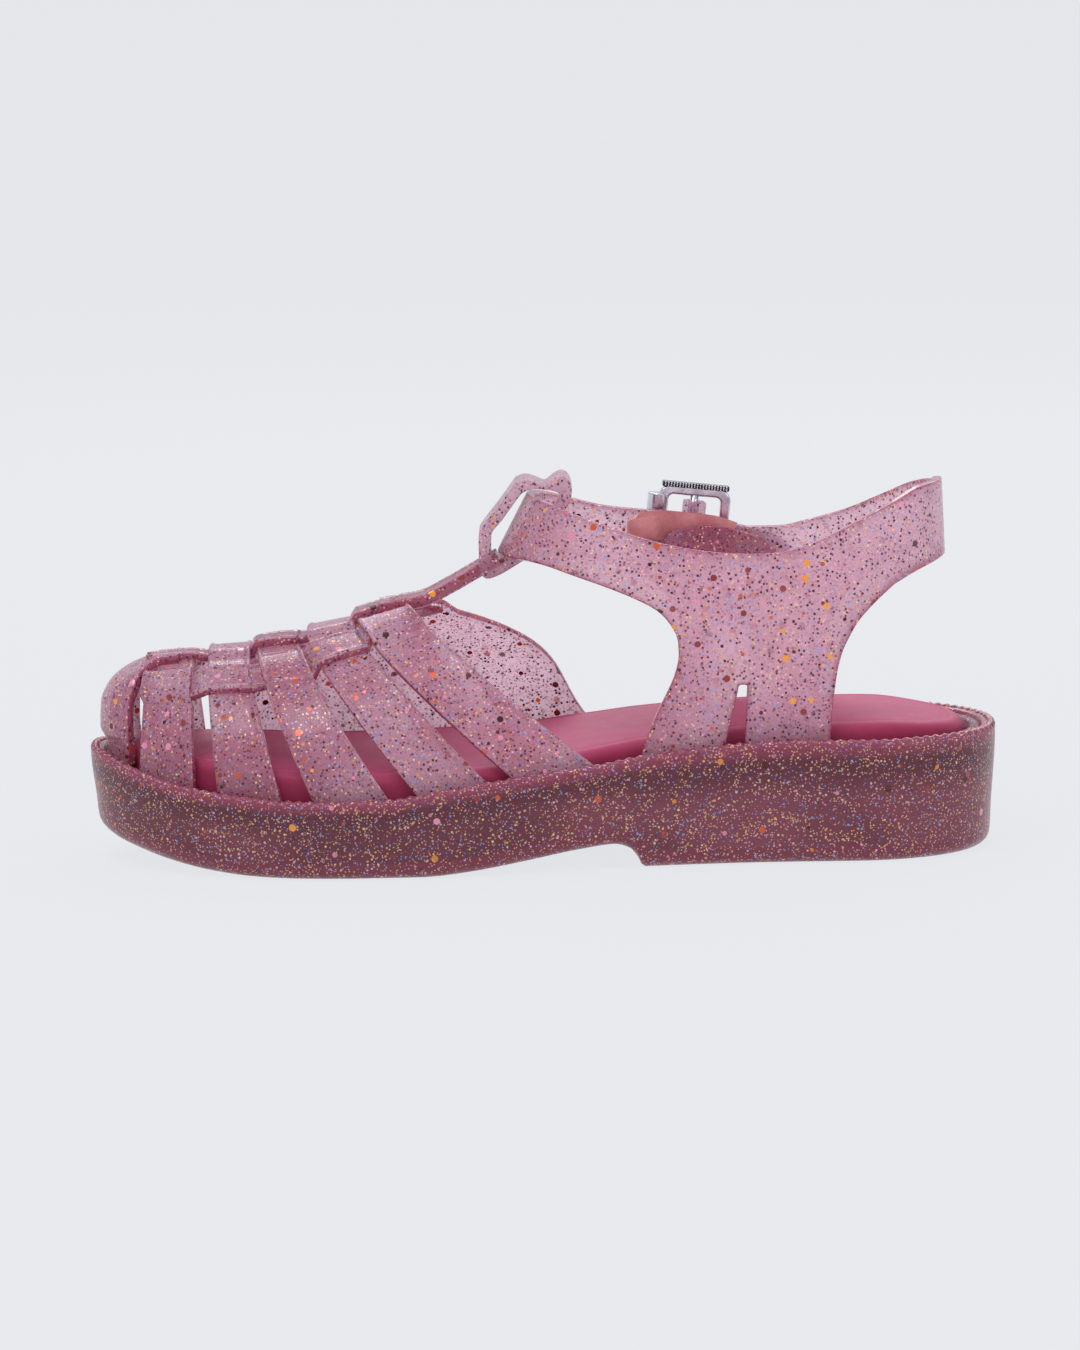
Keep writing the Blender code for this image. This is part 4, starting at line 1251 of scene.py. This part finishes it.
def makeProng(matrix, lift, level):
    # A tongue that rests on the roller, with an eye round the centre bar. It goes past the frame and then comes to a
    # point; neck and bend are shares of its reach.
    settings = {"past": 0.8 * mm, "point": 0.6 * mm, "neck": 0.30, "bend": 0.72, "root": 0.2 * mm, "bevel": 0.25 * mm}
    ringIn = 0.5 * buckle["centre"] + size["clearance"]
    ringOut = ringIn + buckle["eye"]
    half = 0.5 * buckle["prong"]
    eye = prism("prong", circle(ringOut, 32, level), -half, half, matrix, "Z")
    front = 0.5 * buckle["length"] + settings["past"]
    neck, bend, root = settings["neck"] * front, settings["bend"] * front, settings["root"]
    lowest = lift + buckle["thickness"] + 2 * size["clearance"] + buckle["roller"]
    thick = buckle["prongThickness"]
    tongue = [
        (root, level + 0.72 * ringOut), (-neck, lowest - 0.2 * mm), (-bend, lowest), (-front, lowest - 0.1 * mm),
        (-front - settings["point"], lowest + 0.35 * thick), (-front, lowest + 0.75 * thick),
        (-bend, lowest + thick), (-neck, lowest + thick), (root, level + 0.90 * ringOut),
    ]
    arm = prism("arm", tongue, -0.9 * half, 0.9 * half, matrix, "Z")
    bore = prism("bore", circle(ringIn, 32, level), -2 * half, 2 * half, matrix, "Z")
    for piece in (eye, arm):
        bevel(piece, settings["bevel"], 3, 50)
    prong = combine(combine(eye, [arm], "UNION"), [bore], "DIFFERENCE")
    return dress(prong, chromeLook, "buckle_prong")


def makeRibs(matrix, lift):
    # A knurled sleeve on the top bar, with beads on both its faces: pitch from bead to bead
    ribs = {
        "pitch": 0.62 * mm, "radius": 0.2 * mm, "tall": 1.15 * mm, "deep": 2.9 * mm, "reach": 0.46, "above": 1.05 * mm,
        "corner": 0.5 * mm, "rows": (-0.30, 0.0, 0.30), "stagger": 0.12,
    }
    centre = lift + 0.5 * buckle["thickness"]
    top = 0.5 * buckle["height"] - 0.5 * buckle["bar"] + ribs["above"]
    span = ribs["reach"] * buckle["length"]
    outline = [(a + centre, b + top) for a, b in rounded(ribs["deep"], ribs["tall"], ribs["corner"], 5)]
    made = prism("top_sleeve", outline, -span, span, matrix, "X")
    bevel(made, 0.2 * mm, 2)
    dress(made, darkChromeLook)
    places = []
    steps = int(2 * span / ribs["pitch"])
    for i in range(1, steps):
        x = -span + 2 * span * i / steps
        for row in ribs["rows"]:
            z = top + ribs["tall"] * (row + ribs["stagger"] * (i % 2))
            for depth in (-0.5, 0.5):
                places.append(matrix @ Vector((x, centre + depth * ribs["deep"], z)))
    holder = meshOf("top_beads", places, [])
    dress(scatter(holder, beadGroup(), {"Radius": ribs["radius"], "Material": chromeLook}), chromeLook)


def beadGroup():
    # Points become small beads of one size
    group = bpy.data.node_groups.new("beads on points", "GeometryNodeTree")
    for name, kind in (("Geometry", "Geometry"), ("Radius", "Float"), ("Material", "Material")):
        group.interface.new_socket(name, in_out="INPUT", socket_type="NodeSocket" + kind)
    group.interface.new_socket("Geometry", in_out="OUTPUT", socket_type="NodeSocketGeometry")
    names = (
        "NodeGroupInput", "GeometryNodeMeshIcoSphere", "GeometryNodeInstanceOnPoints", "GeometryNodeRealizeInstances",
        "GeometryNodeSetShadeSmooth", "GeometryNodeSetMaterial", "NodeGroupOutput",
    )
    given, ball, spread, real, smooth, paint, result = (group.nodes.new(name) for name in names)
    ball.inputs["Subdivisions"].default_value = 2
    link = group.links.new
    link(given.outputs["Radius"], ball.inputs["Radius"])
    link(given.outputs["Geometry"], spread.inputs["Points"])
    link(ball.outputs["Mesh"], spread.inputs["Instance"])
    link(spread.outputs["Instances"], real.inputs["Geometry"])
    link(real.outputs["Geometry"], smooth.inputs["Geometry"])
    link(smooth.outputs["Geometry"], paint.inputs["Geometry"])
    link(given.outputs["Material"], paint.inputs["Material"])
    link(paint.outputs["Geometry"], result.inputs["Geometry"])
    return group


def scatter(holder, group, values):
    step = holder.modifiers.new("beads", "NODES")
    step.node_group = group
    for item in group.interface.items_tree:
        if item.in_out == "INPUT" and item.name in values:
            step[item.identifier] = values[item.name]
    return applyAll(holder)


def makeStrapEnd():
    # The free end, which lies over the strap. blunt is the square of the least share of its width at the round tip.
    end = {
        "sides": (1, 0.94, 0.84, 0.7, 0.35, 0, -0.35, -0.7, -0.84, -0.94, -1), "steps": 40, "crowding": 0.8,
        "blunt": 0.04, "bevel": 0.4 * mm,
    }
    start = xOf(bucklePlace[0]) - buckle["endAhead"] * buckle["length"]
    half = 0.5 * buckle["endWidth"]
    length = buckle["endLength"]
    grid = []
    for side in end["sides"]:
        line = []
        for i in range(end["steps"] + 1):
            x = start + length * (math.sin(0.5 * math.pi * i / end["steps"]) ** end["crowding"])
            left = start + length - x
            tip = math.sqrt(max(end["blunt"] * half * half, half * half - (half - left) ** 2)) if left <= half else half
            z = bucklePlace[1] * size["strapTop"] - buckle["fall"] * (x - start)
            line.append(Vector((x, loopSide(x, 0.5) + buckle["tab"], z + side * tip)))
        grid.append(line[::-1])
    made = shell("strap_end", grid, buckle["tab"] + 0.5 * size["strap"])
    bevel(made, end["bevel"], 3)
    return dress(made, upperLook)


def makeFolds(matrix, level):
    # The strap's two tabs, folded round the centre bar on both sides of the prong
    inside = 0.5 * buckle["centre"] + size["clearance"]
    outside = inside + buckle["fold"]
    arc = circle(outside, 36, level)[:19]
    arc += [(-outside, 0.5 * buckle["tab"]), (outside, 0.5 * buckle["tab"])]
    gap, reach = 0.5 * buckle["prong"] + size["clearance"], buckle["foldReach"]
    for name, start, end in (("fold_up", gap, reach), ("fold_down", -reach, -gap)):
        tunnel = prism("tunnel", circle(inside, 28, level), start - mm, end + mm, matrix, "Z")
        made = combine(prism(name, arc, start, end, matrix, "Z"), [tunnel], "DIFFERENCE")
        bevel(made, 0.3 * mm, 3, 50)
        dress(made, upperLook)


def insideStrap(x, depth):
    # A point's y at that depth from the outer strap's inner face
    return loopSide(x, 0.6) - size["strap"] - depth


def strapEdge(x):
    return size["strapTop"] * smoothRow(edgeRows, alongOf(x), 3)


def makePad():
    # From the rolled end, which lies in front, round the bend and along the strap
    start = xOf(bucklePlace[0]) - pad["ahead"] * pad["length"]
    radius = pad["radius"]
    turnX = start + radius
    # Each point of the path: x, depth inside the strap and share of the pad's height
    path = [(turnX + pad["tuck"] * (1 - i / 10), 2 * radius, 0.50 + 0.35 * ease(0, 1, i / 4)) for i in range(10)]
    bend = [math.pi * i / 12 for i in range(13)]
    path += [(turnX - radius * math.sin(turn), radius * (1 + math.cos(turn)), 0.85) for turn in bend]
    run = pad["length"] - radius
    for i in range(1, 31):
        share = i / 30
        taper = math.sqrt(max(0.03, 1 - max(0.0, (share - 0.5) / 0.5) ** 2))
        path.append((turnX + run * share, 0.0, (0.85 + 0.15 * ease(0, 0.3, share)) * (0.25 + 0.75 * taper)))
    grid = []
    down = np.linspace(0, 1, 17)
    for x, depth, tall in path:
        height = pad["height"] * tall
        u = min(1.0, (x - start) / pad["corner"])
        top = strapEdge(x) - pad["below"] - pad["drop"] * (1 - math.sqrt(max(0.0, 1 - (1 - u) ** 2)))
        top -= pad["dip"] * (1 - ease(0, pad["dipLength"], x - start)) + 0.15 * (pad["height"] - height)
        y = insideStrap(x, pad["gap"] + depth)
        grid.append([Vector((x, y - pad["bulge"] * (1 - (2 * t - 1) ** 2), top - height * t)) for t in down])
    made = shell("suede_pad", grid, pad["thickness"])
    bevel(made, pad["bevel"], 3)
    dress(made, suedeLook, "buckle_pad")
    return made


def makeTab():
    # The folded end of the strap, which covers the pad's lower half. drops hold a share of its length and how far
    # its upper edge lies below the strap's.
    tab = {
        "start": 7.8 * mm, "length": 24 * mm, "height": 6.0 * mm, "thickness": 1.0 * mm,
        "far": 3.9 * mm, "near": 0.35 * mm, "nearFrom": (0.5, 0.95), "deep": 0.55, "bevel": 0.3 * mm, "steps": 40,
        "drops": (
            (0.0, 5.6 * mm), (0.06, 3.9 * mm), (0.16, 3.1 * mm), (0.36, 2.1 * mm), (0.55, 1.2 * mm), (0.7, 1.1 * mm),
            (0.85, 2.0 * mm), (1.0, 5.0 * mm),
        ),
    }
    start = xOf(bucklePlace[0]) - pad["ahead"] * pad["length"] + tab["start"]
    grid = []
    for i in range(tab["steps"] + 1):
        share = i / tab["steps"]
        x = start + tab["length"] * share
        depth = tab["near"] + (tab["far"] - tab["near"]) * (1 - ease(*tab["nearFrom"], share))
        top = strapEdge(x) - smoothRow(tab["drops"], share, 1)
        height = tab["height"] * (1 - 0.5 * ease(0.5, 1.0, share))
        grid.append([Vector((x, insideStrap(x, depth), top - height * t)) for t in np.linspace(0, 1, 9)])
    made = deepen(shell("inner_tab", grid, tab["thickness"]), tab["deep"])
    bevel(made, tab["bevel"], 3)
    return dress(made, upperLook)


matrix, level = makeBuckle()
makeStrapEnd()
makeFolds(matrix, level)
makePad()
makeTab()
print("buckle made")


# Floor, light and camera

def area(name, place, aim, width, height, power):
    # A soft lamp that points at the shoe, at the height given by aim
    lamp = bpy.data.lights.new(name, "AREA")
    lamp.shape = "RECTANGLE"
    lamp.size, lamp.size_y = width, height
    lamp.energy = power
    made = bpy.data.objects.new(name, lamp)
    made.location = place
    made.rotation_euler = (Vector((0, 0, aim)) - Vector(place)).to_track_quat("-Z", "Y").to_euler()
    bpy.context.scene.collection.objects.link(made)


def makeStage():
    stage = {
        "reach": 30.0, "gap": 0.05 * mm, "glow": (0.745, 0.76, 0.79, 1), "sky": (0.93, 0.95, 1.0, 1), "strength": 0.72,
    }
    reach = stage["reach"]
    corners = [(-reach, -reach, 0), (reach, -reach, 0), (reach, reach, 0), (-reach, reach, 0)]
    floor = meshOf("floor", corners, [(0, 1, 2, 3)])
    floor.location.z = -stage["gap"]
    look = Look("pale_floor")
    look.finish(
        Base_Color=(0.05, 0.05, 0.052, 1), Roughness=0.95, Specular_IOR_Level=0.0,
        Emission_Color=stage["glow"], Emission_Strength=1.0,
    )
    floor.data.materials.append(look.material)
    world = bpy.data.worlds.new("studio")
    world.use_nodes = True
    back = world.node_tree.nodes["Background"]
    back.inputs["Color"].default_value = stage["sky"]
    back.inputs["Strength"].default_value = stage["strength"]
    bpy.context.scene.world = world
    area("key", (-0.35, -0.45, 0.95), 0.03, 0.6, 0.6, 4.2)
    area("fill", (0.75, -0.60, 0.40), 0.04, 0.5, 0.8, 1.2)
    area("back", (0.15, 0.80, 0.75), 0.04, 0.9, 0.6, 5.0)
    bpy.context.scene.view_settings.view_transform = "Standard"


def makeCamera():
    # The photograph's own view: rise above the floor and roll, in degrees
    settings = {"distance": 1.2, "rise": 8.5, "roll": 1.0, "target": Vector((-0.0004, 0.0, 0.0365)), "lens": 152.38}
    lens = bpy.data.cameras.new("camera")
    lens.lens = settings["lens"]
    lens.sensor_width = 36
    lens.clip_start = 0.01
    lens.clip_end = 200
    made = bpy.data.objects.new("camera", lens)
    rise = math.radians(settings["rise"])
    place = settings["target"] + settings["distance"] * Vector((0, -math.cos(rise), math.sin(rise)))
    turn = Matrix.Rotation(math.pi / 2 - rise, 4, "X") @ Matrix.Rotation(-math.radians(settings["roll"]), 4, "Z")
    made.matrix_world = Matrix.Translation(place) @ turn
    bpy.context.scene.collection.objects.link(made)
    bpy.context.scene.camera = made


makeStage()
makeCamera()
print("stage and camera made")
